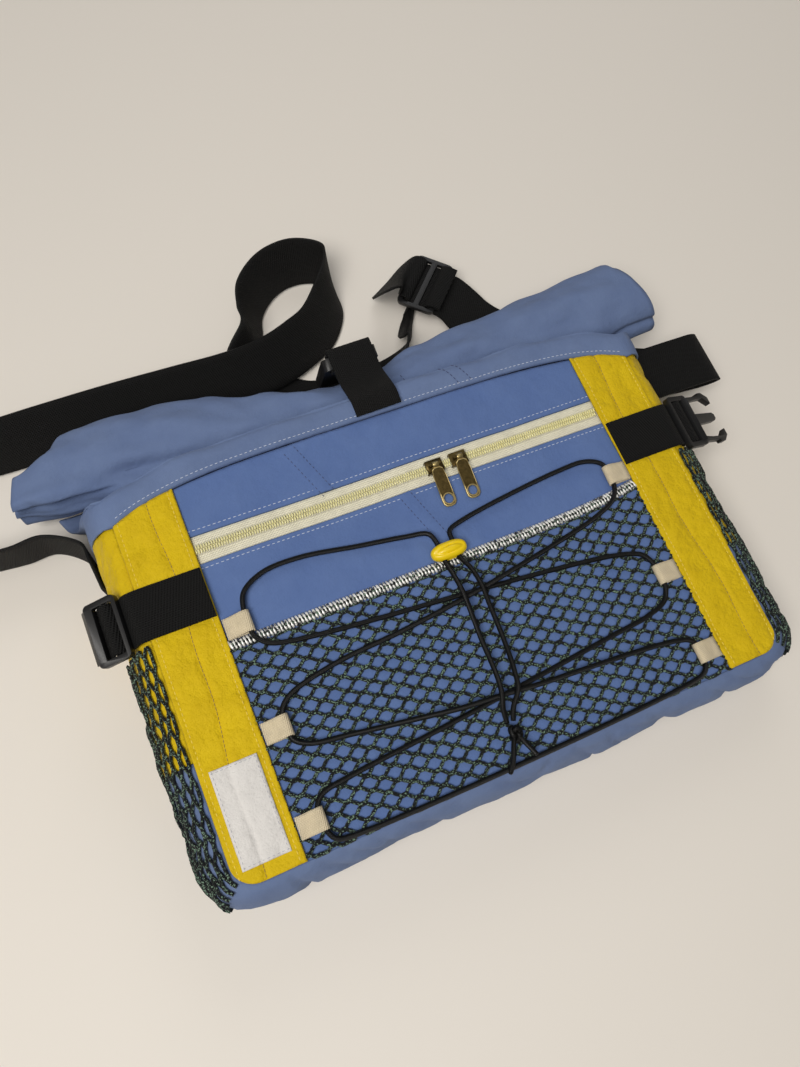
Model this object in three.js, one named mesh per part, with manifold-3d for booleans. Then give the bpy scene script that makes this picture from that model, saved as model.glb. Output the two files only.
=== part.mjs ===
// Roll-top messenger bag, lying on its back with the front face up.
// Millimetres. +X runs across the bag, +Y towards the rolled mouth and +Z up from the surface it lies on.
// The origin is on that surface, under the middle of the front panel.

import * as THREE from "three";
import { mergeVertices } from "three/addons/utils/BufferGeometryUtils.js";
import Module from "manifold-3d";

const wasm = await Module();
wasm.setup();

// Body sizes
const clearance = 0.3;
const openWidth = 270;
const stripWidth = 39;
const frontHeight = 222;
const bodyDepth = 72;
const acrossSlope = -0.044;
const alongSlope = 0.075;
const sideBulge = 21;
const bottomBulge = 12;
const cornerRadius = 14;
const mouthRise = 5;
const mouthDrop = 16;
const cloth = 1.5;
const stripCloth = 2;
const bottomWrap = 70;

// Rolled mouth sizes
const rollHalfLength = 232;
const rollRadius = 26;
const rollCloth = 2.4;
const rollPitch = 6;
const rollTurns = 1.65;
const bandHeight = 14;

// Zip sizes
const zipPlace = 71;
const zipWidth = 16.5;
const coilWidth = 6;
const coilHeight = 1.9;
const sliderLength = 11;
const leftSliderPlace = 18;
const sliderSpacing = 16.5;
const pullLength = 28;
const pullWidth = 9;
const pullThickness = 1.5;

// Net, tape loops and elastic cord sizes
const netThickness = 0.8;
const netTop = 8;
const netCurl = 5.5;
const selvedgeWidth = 5;
const netColumns = 9;
const netRows = 6;
const sideNetTop = 28;
const sideNetColumns = 4;
const tapeWidth = 12.5;
const tapeThickness = 0.8;
const tapeReach = 17;
const cordDiameter = 3;
const toggleLength = 23;
const toggleWidth = 11;

// Webbing, buckle and label sizes
const tabWebbing = 30;
const tabThickness = 2;
const tabPlace = 44.5;
const ladderLength = 21;
const ladderWidth = 38;
const ladderThickness = 4;
const ladderTilt = 24;
const prongLength = 25;
const strapWebbing = 40;
const strapThickness = 1.8;
const adjusterLength = 30;
const adjusterWidth = 48;
const adjusterThickness = 3;
const buckleLength = 52;
const buckleThickness = 8;
const labelWidth = 27;
const labelHeight = 54;
const labelThickness = 0.6;

// Sizes that follow from those above
const halfOpen = openWidth / 2;
const halfBody = halfOpen + stripWidth;
const halfHeight = frontHeight / 2;
const stripFace = clearance + stripCloth;
const netFace = clearance + netThickness;
const cordRadius = cordDiameter / 2;
const zipLow = zipPlace - zipWidth / 2;
const zipHigh = zipPlace + zipWidth / 2;

const group = new THREE.Group();

const finishes = {
  blue: { color: 0x56699e, roughness: 0.85, metalness: 0 },
  paleBlue: { color: 0x6c80a8, roughness: 0.85, metalness: 0 },
  yellow: { color: 0xcdaf14, roughness: 0.7, metalness: 0 },
  cream: { color: 0xf0ead0, roughness: 0.85, metalness: 0 },
  coil: { color: 0xe1dc96, roughness: 0.5, metalness: 0 },
  brass: { color: 0x786432, roughness: 0.4, metalness: 0.9 },
  webbing: { color: 0x121110, roughness: 0.8, metalness: 0 },
  plastic: { color: 0x2a2a2c, roughness: 0.45, metalness: 0 },
  twine: { color: 0x19281f, roughness: 0.8, metalness: 0 },
  silver: { color: 0xb9bcbc, roughness: 0.6, metalness: 0 },
  toggle: { color: 0xe6c80a, roughness: 0.35, metalness: 0 },
  label: { color: 0xe6e6eb, roughness: 0.8, metalness: 0 },
};

function add(name, finish, geometry, matrix) {
  const mesh = new THREE.Mesh(geometry, new THREE.MeshStandardMaterial(finishes[finish]));
  mesh.name = name;
  if (matrix) {
    mesh.applyMatrix4(matrix);
  }
  group.add(mesh);
  return mesh;
}

// Height of the front panel's outer face, which slopes a little both ways
function frontZ(x, y) {
  return bodyDepth + acrossSlope * x + alongSlope * y;
}

// The seam where the front panel meets the mouth band, pulled down at its two corners
function mouthY(x) {
  return halfHeight + mouthRise - mouthDrop * Math.abs(x / halfBody) ** 5;
}

// Puts a geometry that is drawn flat, with z as its height over the front face, on that face
function onFront(geometry) {
  const place = geometry.attributes.position;
  for (let i = 0; i < place.count; i += 1) {
    place.setZ(i, place.getZ(i) + frontZ(place.getX(i), place.getY(i)));
  }
  return geometry;
}

// A place on the front face with its axes along the face, for hard pieces that sit there
function frontFrame(x, y) {
  const across = new THREE.Vector3(1, 0, acrossSlope).normalize();
  const out = new THREE.Vector3(-acrossSlope, -alongSlope, 1).normalize();
  const along = out.clone().cross(across);
  return new THREE.Matrix4().makeBasis(across, along, out).setPosition(x, y, frontZ(x, y));
}

// Between two numbers, and between rows of a table whose first column is "at"
function mix(a, b, share) {
  return a + (b - a) * share;
}

function readTable(rows, at) {
  const last = rows.length - 1;
  let i = 0;
  while (i < last - 1 && at > rows[i + 1].at) {
    i += 1;
  }
  const share = THREE.MathUtils.clamp((at - rows[i].at) / (rows[i + 1].at - rows[i].at), 0, 1);
  const eased = share * share * (3 - 2 * share);
  const result = {};
  for (const key of Object.keys(rows[i])) {
    result[key] = mix(rows[i][key], rows[i + 1][key], eased);
  }
  return result;
}

// A closed wall between two grids of points. "around" joins each row's last point to its first.
function wall(outer, inner, around = false) {
  const rows = outer.length;
  const across = outer[0].length;
  const points = [...outer.flat(), ...inner.flat()];
  const half = rows * across;
  const faces = [];
  const quad = (a, b, c, d) => faces.push(a, b, c, a, c, d);
  const steps = around ? across : across - 1;
  for (let i = 0; i < rows - 1; i += 1) {
    for (let j = 0; j < steps; j += 1) {
      const k = (j + 1) % across;
      const a = i * across + j;
      const b = (i + 1) * across + j;
      const c = (i + 1) * across + k;
      const d = i * across + k;
      quad(a, b, c, d);
      quad(half + d, half + c, half + b, half + a);
    }
  }
  for (let j = 0; j < steps; j += 1) {
    const k = (j + 1) % across;
    const top = (rows - 1) * across;
    quad(k, half + k, half + j, j);
    quad(top + j, half + top + j, half + top + k, top + k);
  }
  if (!around) {
    for (let i = 0; i < rows - 1; i += 1) {
      const a = i * across;
      const b = (i + 1) * across;
      const end = across - 1;
      quad(a, half + a, half + b, b);
      quad(b + end, half + b + end, half + a + end, a + end);
    }
  }
  let volume = 0;
  for (let f = 0; f < faces.length; f += 3) {
    const [a, b, c] = [points[faces[f]], points[faces[f + 1]], points[faces[f + 2]]];
    volume += a.dot(b.clone().cross(c));
  }
  if (volume < 0) {
    faces.reverse();
  }
  const geometry = new THREE.BufferGeometry();
  geometry.setAttribute("position", new THREE.Float32BufferAttribute(points.flatMap((p) => p.toArray()), 3));
  geometry.setIndex(faces);
  return geometry;
}

// A surface given by a function of two numbers from 0 to 1, as a grid and as unit normals
function sample(surface, rows, across, around = false) {
  const grid = [];
  const normals = [];
  const step = 1e-3;
  for (let i = 0; i < rows; i += 1) {
    const u = i / (rows - 1);
    const line = [];
    const lineNormals = [];
    for (let j = 0; j < across; j += 1) {
      const v = around ? j / across : j / (across - 1);
      const low = around ? v - step : Math.max(0, v - step);
      const high = around ? v + step : Math.min(1, v + step);
      const alongU = surface(Math.min(1, u + step), v).sub(surface(Math.max(0, u - step), v));
      const alongV = surface(u, high).sub(surface(u, low));
      line.push(surface(u, v));
      lineNormals.push(alongU.cross(alongV).normalize());
    }
    grid.push(line);
    normals.push(lineNormals);
  }
  return { grid, normals };
}

function offset(grid, normals, distance) {
  return grid.map((line, i) => line.map((point, j) => point.clone().addScaledVector(normals[i][j], distance)));
}

function sheet(surface, rows, across, thickness, around = false) {
  const { grid, normals } = sample(surface, rows, across, around);
  return wall(grid, offset(grid, normals, thickness), around);
}

// A flat plate over the front face, from an outline, between two heights
function frontPlate(shape, low, high) {
  const geometry = new THREE.ExtrudeGeometry(shape, { depth: high - low, bevelEnabled: false, curveSegments: 3 });
  geometry.translate(0, 0, low);
  return onFront(geometry);
}

function frontBox(x0, x1, y0, y1, low, high) {
  const geometry = new THREE.BoxGeometry(x1 - x0, y1 - y0, high - low);
  geometry.translate((x0 + x1) / 2, (y0 + y1) / 2, (low + high) / 2);
  return onFront(geometry);
}

function outlineOf(points) {
  return new THREE.Shape(points.map(([x, y]) => new THREE.Vector2(x, y)));
}

// Stations along the mouth seam, from left to right, that its panels, strips and band share
const seamStations = [];
for (const [from, to, steps] of [
  [-halfBody, -halfOpen, 3],
  [-halfOpen, halfOpen, 8],
  [halfOpen, halfBody, 3],
]) {
  for (let i = from === -halfBody ? 0 : 1; i <= steps; i += 1) {
    seamStations.push(mix(from, to, i / steps));
  }
}

function seamPoints(x0, x1) {
  const between = seamStations.filter((x) => x > x0 + clearance && x < x1 - clearance);
  return [x0, ...between, x1].map((x) => [x, mouthY(x) - clearance]);
}

// A round bottom corner of the front, from its side to its bottom edge, for the left or right side
function cornerPoints(side) {
  const points = [];
  for (let i = 0; i <= 3; i += 1) {
    const angle = (i / 3) * (Math.PI / 2);
    const x = halfBody - cornerRadius + cornerRadius * Math.cos(angle);
    const y = -halfHeight + cornerRadius - cornerRadius * Math.sin(angle);
    points.push([side * x, y]);
  }
  return points;
}

// Front panels
const lowerPanel = outlineOf([
  [-halfBody, zipLow - clearance],
  ...cornerPoints(-1),
  ...cornerPoints(1).reverse(),
  [halfBody, zipLow - clearance],
]);
add("front_lower_panel", "blue", frontPlate(lowerPanel, -cloth, 0));

const upperPanel = outlineOf([
  [-halfBody, zipHigh + clearance],
  [halfBody, zipHigh + clearance],
  ...seamPoints(-halfBody, halfBody).reverse(),
]);
add("front_upper_panel", "blue", frontPlate(upperPanel, -cloth, 0));

// Zip tape in the slot between the two panels, its coil, and two sliders that face each other
const tapeDepth = 0.8;
const tapeFace = -0.6;
add("zip_tape", "cream", frontBox(-halfBody, halfBody, zipLow, zipHigh, tapeFace - tapeDepth, tapeFace));

function coilProfile(width, height) {
  const shape = new THREE.Shape();
  shape.moveTo(-width / 2, 0);
  for (let i = 1; i < 7; i += 1) {
    const angle = Math.PI - (i / 7) * Math.PI;
    shape.lineTo((width / 2) * Math.cos(angle), height * Math.sin(angle));
  }
  shape.lineTo(width / 2, 0);
  return shape;
}

const coilGeometry = new THREE.ExtrudeGeometry(coilProfile(coilWidth, coilHeight), {
  depth: openWidth - 2 * clearance,
  bevelEnabled: false,
});
coilGeometry.rotateX(Math.PI / 2);
coilGeometry.rotateZ(Math.PI / 2);
coilGeometry.translate(-halfOpen + clearance, zipPlace, tapeFace + clearance);
add("zip_coil", "coil", onFront(coilGeometry));

// Solids for cutting and joining
function toSolid(geometry) {
  const bare = geometry.clone();
  bare.deleteAttribute("normal");
  bare.deleteAttribute("uv");
  const merged = mergeVertices(bare, 1e-4);
  return new wasm.Manifold(
    new wasm.Mesh({
      numProp: 3,
      vertProperties: new Float32Array(merged.attributes.position.array),
      triVerts: new Uint32Array(merged.index.array),
    }),
  );
}

function toGeometry(solid) {
  const mesh = solid.getMesh();
  const geometry = new THREE.BufferGeometry();
  geometry.setAttribute("position", new THREE.BufferAttribute(new Float32Array(mesh.vertProperties), 3));
  geometry.setIndex(new THREE.BufferAttribute(new Uint32Array(mesh.triVerts), 1));
  return geometry;
}

function block(x0, x1, y0, y1, z0, z1) {
  const geometry = new THREE.BoxGeometry(x1 - x0, y1 - y0, z1 - z0);
  geometry.translate((x0 + x1) / 2, (y0 + y1) / 2, (z0 + z1) / 2);
  return toSolid(geometry);
}

function join(solids) {
  return solids.reduce((whole, part) => whole.add(part));
}

// A slider straddles the coil. Its bridge carries the pull's eye, and the pull swings about the bridge's bar.
const sliderTop = tapeFace + clearance + coilHeight + clearance;
const plateThickness = 1.2;
const sliderHalfWidth = coilWidth / 2 + clearance + 1;
const bridgeRadius = 0.8;
const eyeClearance = 0.3;
const eyeWall = 0.8;
const eyeRadius = bridgeRadius + eyeClearance + eyeWall;
const bridgeHeight = sliderTop + plateThickness + clearance + eyeRadius;
const eyeWidth = 4;
const postSize = 1.4;

function slider() {
  const postStart = eyeWidth / 2 + clearance;
  const bar = new THREE.CylinderGeometry(bridgeRadius, bridgeRadius, 2 * postStart + postSize, 10);
  bar.rotateZ(Math.PI / 2);
  bar.translate(0, 0, bridgeHeight);
  const half = sliderLength / 2;
  const top = sliderTop + plateThickness;
  const flangeFoot = tapeFace + clearance;
  return toGeometry(
    join([
      block(-half, half, -sliderHalfWidth, sliderHalfWidth, sliderTop, top),
      block(-half, half, -sliderHalfWidth, -sliderHalfWidth + 1, flangeFoot, sliderTop + 0.1),
      block(-half, half, sliderHalfWidth - 1, sliderHalfWidth, flangeFoot, sliderTop + 0.1),
      block(-postStart - postSize, -postStart, -postSize / 2, postSize / 2, top - 0.2, bridgeHeight + bridgeRadius),
      block(postStart, postStart + postSize, -postSize / 2, postSize / 2, top - 0.2, bridgeHeight + bridgeRadius),
      toSolid(bar),
    ]),
  );
}

// The pull is a plate with a hole near its free end, and an eye round the bridge's bar at the other
function pull() {
  const half = pullWidth / 2;
  const neck = eyeWidth / 2;
  const plate = new THREE.Shape();
  plate.moveTo(-neck, -eyeRadius + 0.2);
  plate.lineTo(-neck, -eyeRadius - 2);
  plate.lineTo(-half * 0.8, -eyeRadius - 5);
  plate.lineTo(-half, -pullLength + half);
  plate.lineTo(-half * 0.6, -pullLength);
  plate.lineTo(half * 0.6, -pullLength);
  plate.lineTo(half, -pullLength + half);
  plate.lineTo(half * 0.8, -eyeRadius - 5);
  plate.lineTo(neck, -eyeRadius - 2);
  plate.lineTo(neck, -eyeRadius + 0.2);
  const hole = new THREE.Path();
  hole.absarc(0, -pullLength + half * 1.15, half * 0.55, 0, Math.PI * 2, true);
  plate.holes.push(hole);
  const plateGeometry = new THREE.ExtrudeGeometry(plate, { depth: pullThickness, bevelEnabled: false, curveSegments: 5 });
  plateGeometry.translate(0, 0, -pullThickness / 2);
  const eye = new THREE.Shape();
  eye.absarc(0, 0, eyeRadius, 0, Math.PI * 2, false);
  const bore = new THREE.Path();
  bore.absarc(0, 0, bridgeRadius + eyeClearance, 0, Math.PI * 2, true);
  eye.holes.push(bore);
  const eyeGeometry = new THREE.ExtrudeGeometry(eye, { depth: eyeWidth, bevelEnabled: false, curveSegments: 5 });
  eyeGeometry.rotateY(Math.PI / 2);
  eyeGeometry.translate(-eyeWidth / 2, 0, 0);
  return toGeometry(join([toSolid(plateGeometry), toSolid(eyeGeometry)]));
}

// The pull lies on the lower panel, so it dips towards its free end
const pullRest = clearance + pullThickness / 2;
const pullDip = Math.asin((bridgeHeight - pullRest) / pullLength);
["left", "right"].forEach((side, index) => {
  const x = leftSliderPlace + index * sliderSpacing;
  const base = frontFrame(x, zipPlace);
  add(`${side}_slider`, "brass", slider(), base);
  const lift = new THREE.Matrix4().makeTranslation(0, 0, bridgeHeight);
  const dip = new THREE.Matrix4().makeRotationX(pullDip);
  add(`${side}_pull`, "brass", pull(), base.clone().multiply(lift).multiply(dip));
});

// Yellow strips down both sides of the front, over the edges of the panels, net and tape loops
for (const side of [-1, 1]) {
  const inner = side * (halfOpen + clearance);
  const outer = side * halfBody;
  const seam = side < 0 ? seamPoints(outer, inner) : seamPoints(inner, outer).reverse();
  const strip = outlineOf([[inner, -halfHeight], ...cornerPoints(side).reverse(), ...seam]);
  add(side < 0 ? "left_strip" : "right_strip", "yellow", frontPlate(strip, clearance, stripFace));
}

// Side wall: a half ellipse from the front edge to the back, swept round the sides and bottom
const wallTop = -cloth - clearance;
const wallFoot = cloth + clearance;
const backTop = halfHeight + 1;

function wallPoint(x, y, nx, ny, angle, lift) {
  const share = (1 - Math.cos(angle)) / 2;
  const bulge = (sideBulge * nx * nx + bottomBulge * ny * ny) * Math.sin(angle);
  const z = mix(frontZ(x, y) + wallTop, wallFoot, share);
  const outward = bulge + lift * Math.sin(angle);
  return new THREE.Vector3(x + nx * outward, y + ny * outward, z + (lift * Math.cos(angle)));
}

function sideY(angle, top, bottom, u) {
  const share = (1 - Math.cos(angle)) / 2;
  return mix(mix(top, backTop - 2 * clearance, share), bottom, u);
}

const wrapY = -halfHeight + bottomWrap;
for (const side of [-1, 1]) {
  const gusset = (u, v) => {
    const angle = v * Math.PI;
    const y = sideY(angle, mouthY(halfBody) - 2 * clearance, wrapY, u);
    return wallPoint(side * halfBody, y, side, 0, angle, 0);
  };
  const name = side < 0 ? "left_gusset" : "right_gusset";
  add(name, "yellow", sheet(gusset, 6, 9, -side * cloth));
}

// The bottom panel runs up both sides and round both corners
const legLength = bottomWrap - cornerRadius - clearance;
const arcLength = (Math.PI / 2) * cornerRadius;
const bottomLength = 2 * (halfBody - cornerRadius);
const wrapLength = 2 * legLength + 2 * arcLength + bottomLength;
const wrapStations = [];
for (const [from, to, steps] of [
  [0, legLength, 3],
  [legLength, legLength + arcLength, 3],
  [legLength + arcLength, wrapLength - legLength - arcLength, 5],
  [wrapLength - legLength - arcLength, wrapLength - legLength, 3],
  [wrapLength - legLength, wrapLength, 3],
]) {
  for (let i = from === 0 ? 0 : 1; i <= steps; i += 1) {
    wrapStations.push(mix(from, to, i / steps));
  }
}

function wrapPlace(distance) {
  const mirrored = distance > wrapLength / 2;
  const d = mirrored ? wrapLength - distance : distance;
  const side = mirrored ? 1 : -1;
  const cx = side * (halfBody - cornerRadius);
  const cy = -halfHeight + cornerRadius;
  if (d <= legLength) {
    return { x: side * halfBody, y: wrapY - clearance - d, nx: side, ny: 0 };
  }
  if (d <= legLength + arcLength) {
    const angle = (d - legLength) / cornerRadius;
    const nx = side * Math.cos(angle);
    const ny = -Math.sin(angle);
    return { x: cx + cornerRadius * nx, y: cy + cornerRadius * ny, nx, ny };
  }
  return { x: cx - side * (d - legLength - arcLength), y: -halfHeight, nx: 0, ny: -1 };
}

const bottomPanel = (u, v) => {
  const place = wrapPlace(u * wrapLength);
  return wallPoint(place.x, place.y, place.nx, place.ny, v * Math.PI, 0);
};
const bottomOuter = [];
const bottomInner = [];
for (const station of wrapStations) {
  const one = sample((u, v) => bottomPanel(station / wrapLength + (u - 0.5) * 1e-3, v), 3, 9);
  bottomOuter.push(one.grid[1]);
  bottomInner.push(offset([one.grid[1]], [one.normals[1]], cloth)[0]);
}
add("bottom_panel", "paleBlue", wall(bottomOuter, bottomInner));

// Back panel, flat on the surface that the bag lies on
const backPanel = outlineOf([
  [-halfBody, backTop],
  ...cornerPoints(-1),
  ...cornerPoints(1).reverse(),
  [halfBody, backTop],
]);
const backGeometry = new THREE.ExtrudeGeometry(backPanel, { depth: cloth, bevelEnabled: false });
add("back_panel", "blue", backGeometry);

// The rolled mouth. Each row is a section across the roll: its place along the roll as a share of its
// half length, its middle beyond the front's edge, its middle's height, its two half sizes and its end's
// slant, all as shares of the roll's radius.
const rollRows = [
  { at: -1.0, out: 2.2, height: 1.08, deep: 0.93, thick: 0.85, slant: -0.55 },
  { at: -0.88, out: 2.3, height: 1.2, deep: 1.31, thick: 0.98, slant: -0.4 },
  { at: -0.69, out: 2.27, height: 1.27, deep: 1.35, thick: 1.0, slant: 0 },
  { at: -0.57, out: 2.19, height: 1.31, deep: 1.31, thick: 1.0, slant: 0 },
  { at: -0.43, out: 2.01, height: 1.35, deep: 1.19, thick: 0.96, slant: 0 },
  { at: -0.28, out: 1.72, height: 1.42, deep: 1.04, thick: 0.92, slant: 0 },
  { at: -0.06, out: 1.36, height: 1.54, deep: 0.85, thick: 0.85, slant: 0 },
  { at: 0.08, out: 1.36, height: 1.54, deep: 0.85, thick: 0.85, slant: 0 },
  { at: 0.22, out: 1.65, height: 1.5, deep: 0.92, thick: 0.88, slant: 0 },
  { at: 0.42, out: 1.77, height: 1.42, deep: 1.08, thick: 0.96, slant: 0 },
  { at: 0.62, out: 1.8, height: 1.38, deep: 1.19, thick: 1.0, slant: 0 },
  { at: 0.78, out: 1.82, height: 1.38, deep: 1.27, thick: 1.04, slant: 0 },
  { at: 0.91, out: 1.91, height: 1.38, deep: 1.31, thick: 1.04, slant: 0 },
  { at: 0.96, out: 1.77, height: 1.36, deep: 1.08, thick: 0.92, slant: 0.1 },
];

function rollAt(x) {
  const row = readTable(rollRows, x / rollHalfLength);
  return {
    y: halfHeight + row.out * rollRadius,
    z: row.height * rollRadius,
    deep: row.deep * rollRadius,
    thick: row.thick * rollRadius,
    slant: row.slant * rollRadius,
  };
}

const rollStart = (-108 * Math.PI) / 180;
function rollSurface(u, v) {
  const x = mix(rollRows[0].at, rollRows[rollRows.length - 1].at, u) * rollHalfLength;
  const row = rollAt(x);
  const turn = v * rollTurns;
  const angle = rollStart + turn * 2 * Math.PI;
  const shrink = turn * rollPitch;
  const y = row.y + (row.deep - shrink) * Math.cos(angle);
  const z = row.z + (row.thick - shrink) * Math.sin(angle);
  return new THREE.Vector3(x - row.slant * Math.cos(angle), y, z);
}
add("roll", "paleBlue", sheet(rollSurface, 14, 20, rollCloth));

// The mouth band rises from the front's edge, folds over into the valley before the roll and runs under
// the roll, with the back of the bag's mouth below it. Rows go from the body's rim to the roll's first turn.
// "rim" is the share of the rim's shape, "turn" the angle round the roll where the front layer lies,
// "level" the back layer's height as a share of the roll's underside.
const bandRows = [
  { rise: 0.0, height: 1.0, round: 1.0, reach: 0.0, turn: 0, seat: 0, level: 0.0, lifted: 0 },
  { rise: 0.55, height: 1.02, round: 1.0, reach: 0.0, turn: 0, seat: 0, level: 0.0, lifted: 0.1 },
  { rise: 1.0, height: 1.0, round: 0.95, reach: 0.02, turn: 0, seat: 0, level: 0.05, lifted: 0.75 },
  { rise: 1.12, height: 0.93, round: 0.9, reach: 0.1, turn: 0, seat: 0, level: 0.1, lifted: 1 },
  { rise: 0, height: 0, round: 0.7, reach: 0.4, turn: 176, seat: 2.4, level: 0.3, lifted: 1 },
  { rise: 0, height: 0, round: 0.4, reach: 0.7, turn: 215, seat: 1.6, level: 0.6, lifted: 1 },
  { rise: 0, height: 0, round: 0.12, reach: 0.95, turn: 245, seat: 0.5, level: 1.0, lifted: 1 },
];
const slotGap = 4.2;
const strapRoom = 6;

function bandFront(x0, row) {
  const x = x0 * mix(1, (rollHalfLength * 0.94) / halfBody, row.reach);
  if (row.turn === 0) {
    const y = mouthY(x0) + row.rise * bandHeight * mix(1, 1.2, Math.abs(x0 / halfBody) ** 4);
    const z = (frontZ(x0, y) + stripFace) * row.height;
    return new THREE.Vector3(x, y, z);
  }
  const roll = rollAt(x);
  const angle = (row.turn * Math.PI) / 180;
  const y = roll.y + (roll.deep + row.seat) * Math.cos(angle);
  const z = Math.max(roll.z + (roll.thick + row.seat) * Math.sin(angle), slotGap);
  return new THREE.Vector3(x, y, z);
}

function bandBack(x0, row, index) {
  const front = bandFront(x0, row);
  const roll = rollAt(front.x);
  const under = Math.max(roll.z - roll.thick - slotGap - cloth, 0);
  const share = index / (bandRows.length - 1);
  const y = mix(backTop + 2 * clearance, bandFront(x0, bandRows[bandRows.length - 1]).y, share);
  const room = strapRoom * THREE.MathUtils.smoothstep(x0, 0.3 * halfBody, 0.75 * halfBody) * row.lifted;
  return new THREE.Vector3(front.x, y, Math.min(Math.max(under * row.level, room), front.z - slotGap));
}

const bandSideSteps = 4;
const bandBackSteps = 8;
function bandLoop(row, index) {
  const loop = [];
  loop.push(...seamStations.map((x) => bandFront(x, row)));
  const sideOf = (side) => {
    const front = bandFront(side * halfBody, row);
    const back = bandBack(side * halfBody, row, index);
    const points = [];
    for (let i = 1; i < bandSideSteps; i += 1) {
      const angle = (i / bandSideSteps) * Math.PI;
      const share = (1 - Math.cos(angle)) / 2;
      const point = front.clone().lerp(back, share);
      point.x += side * sideBulge * row.round * Math.sin(angle);
      points.push(point);
    }
    return points;
  };
  loop.push(...sideOf(1));
  for (let i = 0; i <= bandBackSteps; i += 1) {
    loop.push(bandBack(mix(halfBody, -halfBody, i / bandBackSteps), row, index));
  }
  loop.push(...sideOf(-1).reverse());
  return loop;
}

const bandOuter = bandRows.map(bandLoop);
function loopNormals(grid) {
  return grid.map((line, i) =>
    line.map((point, j) => {
      const count = line.length;
      const before = grid[Math.max(0, i - 1)][j];
      const after = grid[Math.min(grid.length - 1, i + 1)][j];
      const left = line[(j + count - 1) % count];
      const right = line[(j + 1) % count];
      return after.clone().sub(before).cross(right.clone().sub(left)).normalize();
    }),
  );
}
add("mouth_band", "paleBlue", wall(bandOuter, offset(bandOuter, loopNormals(bandOuter), cloth), true));

// Nets. A net is a flat plate with a diamond for each gap, so that its strands cross.
function netGaps(width, height, columns, rows, strand, lowEdge) {
  const gaps = [];
  const cellX = width / columns;
  const cellY = height / rows;
  for (let row = 0; row < rows; row += 1) {
    const shifted = row % 2;
    for (let column = 0; column < columns - shifted; column += 1) {
      const x = -width / 2 + (column + 0.5 + shifted / 2) * cellX;
      const y = lowEdge + (row + 0.5) * cellY;
      const rx = cellX / 2 - strand / 2;
      const ry = cellY / 2 - strand / 4;
      const path = new THREE.Path();
      path.moveTo(x - rx, y);
      path.lineTo(x, y + ry);
      path.lineTo(x + rx, y);
      path.lineTo(x, y - ry);
      path.closePath();
      gaps.push(path);
    }
  }
  return gaps;
}

const strand = 1.6;
const netHalf = halfOpen - clearance;
const netLow = -halfHeight + clearance;
function netTopY(x) {
  return netTop + netCurl * Math.max(0, x / halfOpen) ** 4;
}
const netPoints = [];
for (let i = 0; i <= 8; i += 1) {
  const x = mix(netHalf, -netHalf, i / 8);
  netPoints.push([x, netTopY(x)]);
}
const netShape = outlineOf([[-netHalf, netLow], [netHalf, netLow], ...netPoints]);
netShape.holes.push(...netGaps(2 * netHalf - strand, netTop - netLow - strand, netColumns, netRows, strand, netLow + strand));
add("front_net", "twine", frontPlate(netShape, clearance, netFace));

const selvedgePoints = netPoints.map(([x, y]) => [x, y + clearance]);
const selvedge = outlineOf([...selvedgePoints, ...selvedgePoints.map(([x, y]) => [x, y + selvedgeWidth]).reverse()]);
add("net_selvedge", "silver", frontPlate(selvedge, clearance, netFace + 0.8));

// The side nets follow the bulging sides, so each is made of cells: a cell's corners, then its gap's four
const sideNetStart = THREE.MathUtils.degToRad(22);
const sideNetEnd = THREE.MathUtils.degToRad(144);
const sideNetLow = -halfHeight + cornerRadius;
const sideNetLift = 3 * clearance;

// Each row is a line of corners: how far down the straight wall, then how far round the bottom corner
const sideNetLines = [
  { down: 0, turn: 0 },
  { down: 0.25, turn: 0 },
  { down: 0.5, turn: 0 },
  { down: 0.75, turn: 0 },
  { down: 1, turn: 0 },
  { down: 1, turn: 20 },
  { down: 1, turn: 40 },
];

function sideNetPlace(side, along) {
  const line = along * (sideNetLines.length - 1);
  const index = Math.min(Math.floor(line), sideNetLines.length - 2);
  const before = sideNetLines[index];
  const after = sideNetLines[index + 1];
  const y = mix(sideNetTop, sideNetLow, mix(before.down, after.down, line - index));
  const turn = THREE.MathUtils.degToRad(mix(before.turn, after.turn, line - index));
  const nx = side * Math.cos(turn);
  const ny = -Math.sin(turn);
  return { x: side * (halfBody - cornerRadius) + cornerRadius * nx, y: y + cornerRadius * ny, nx, ny };
}

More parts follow.
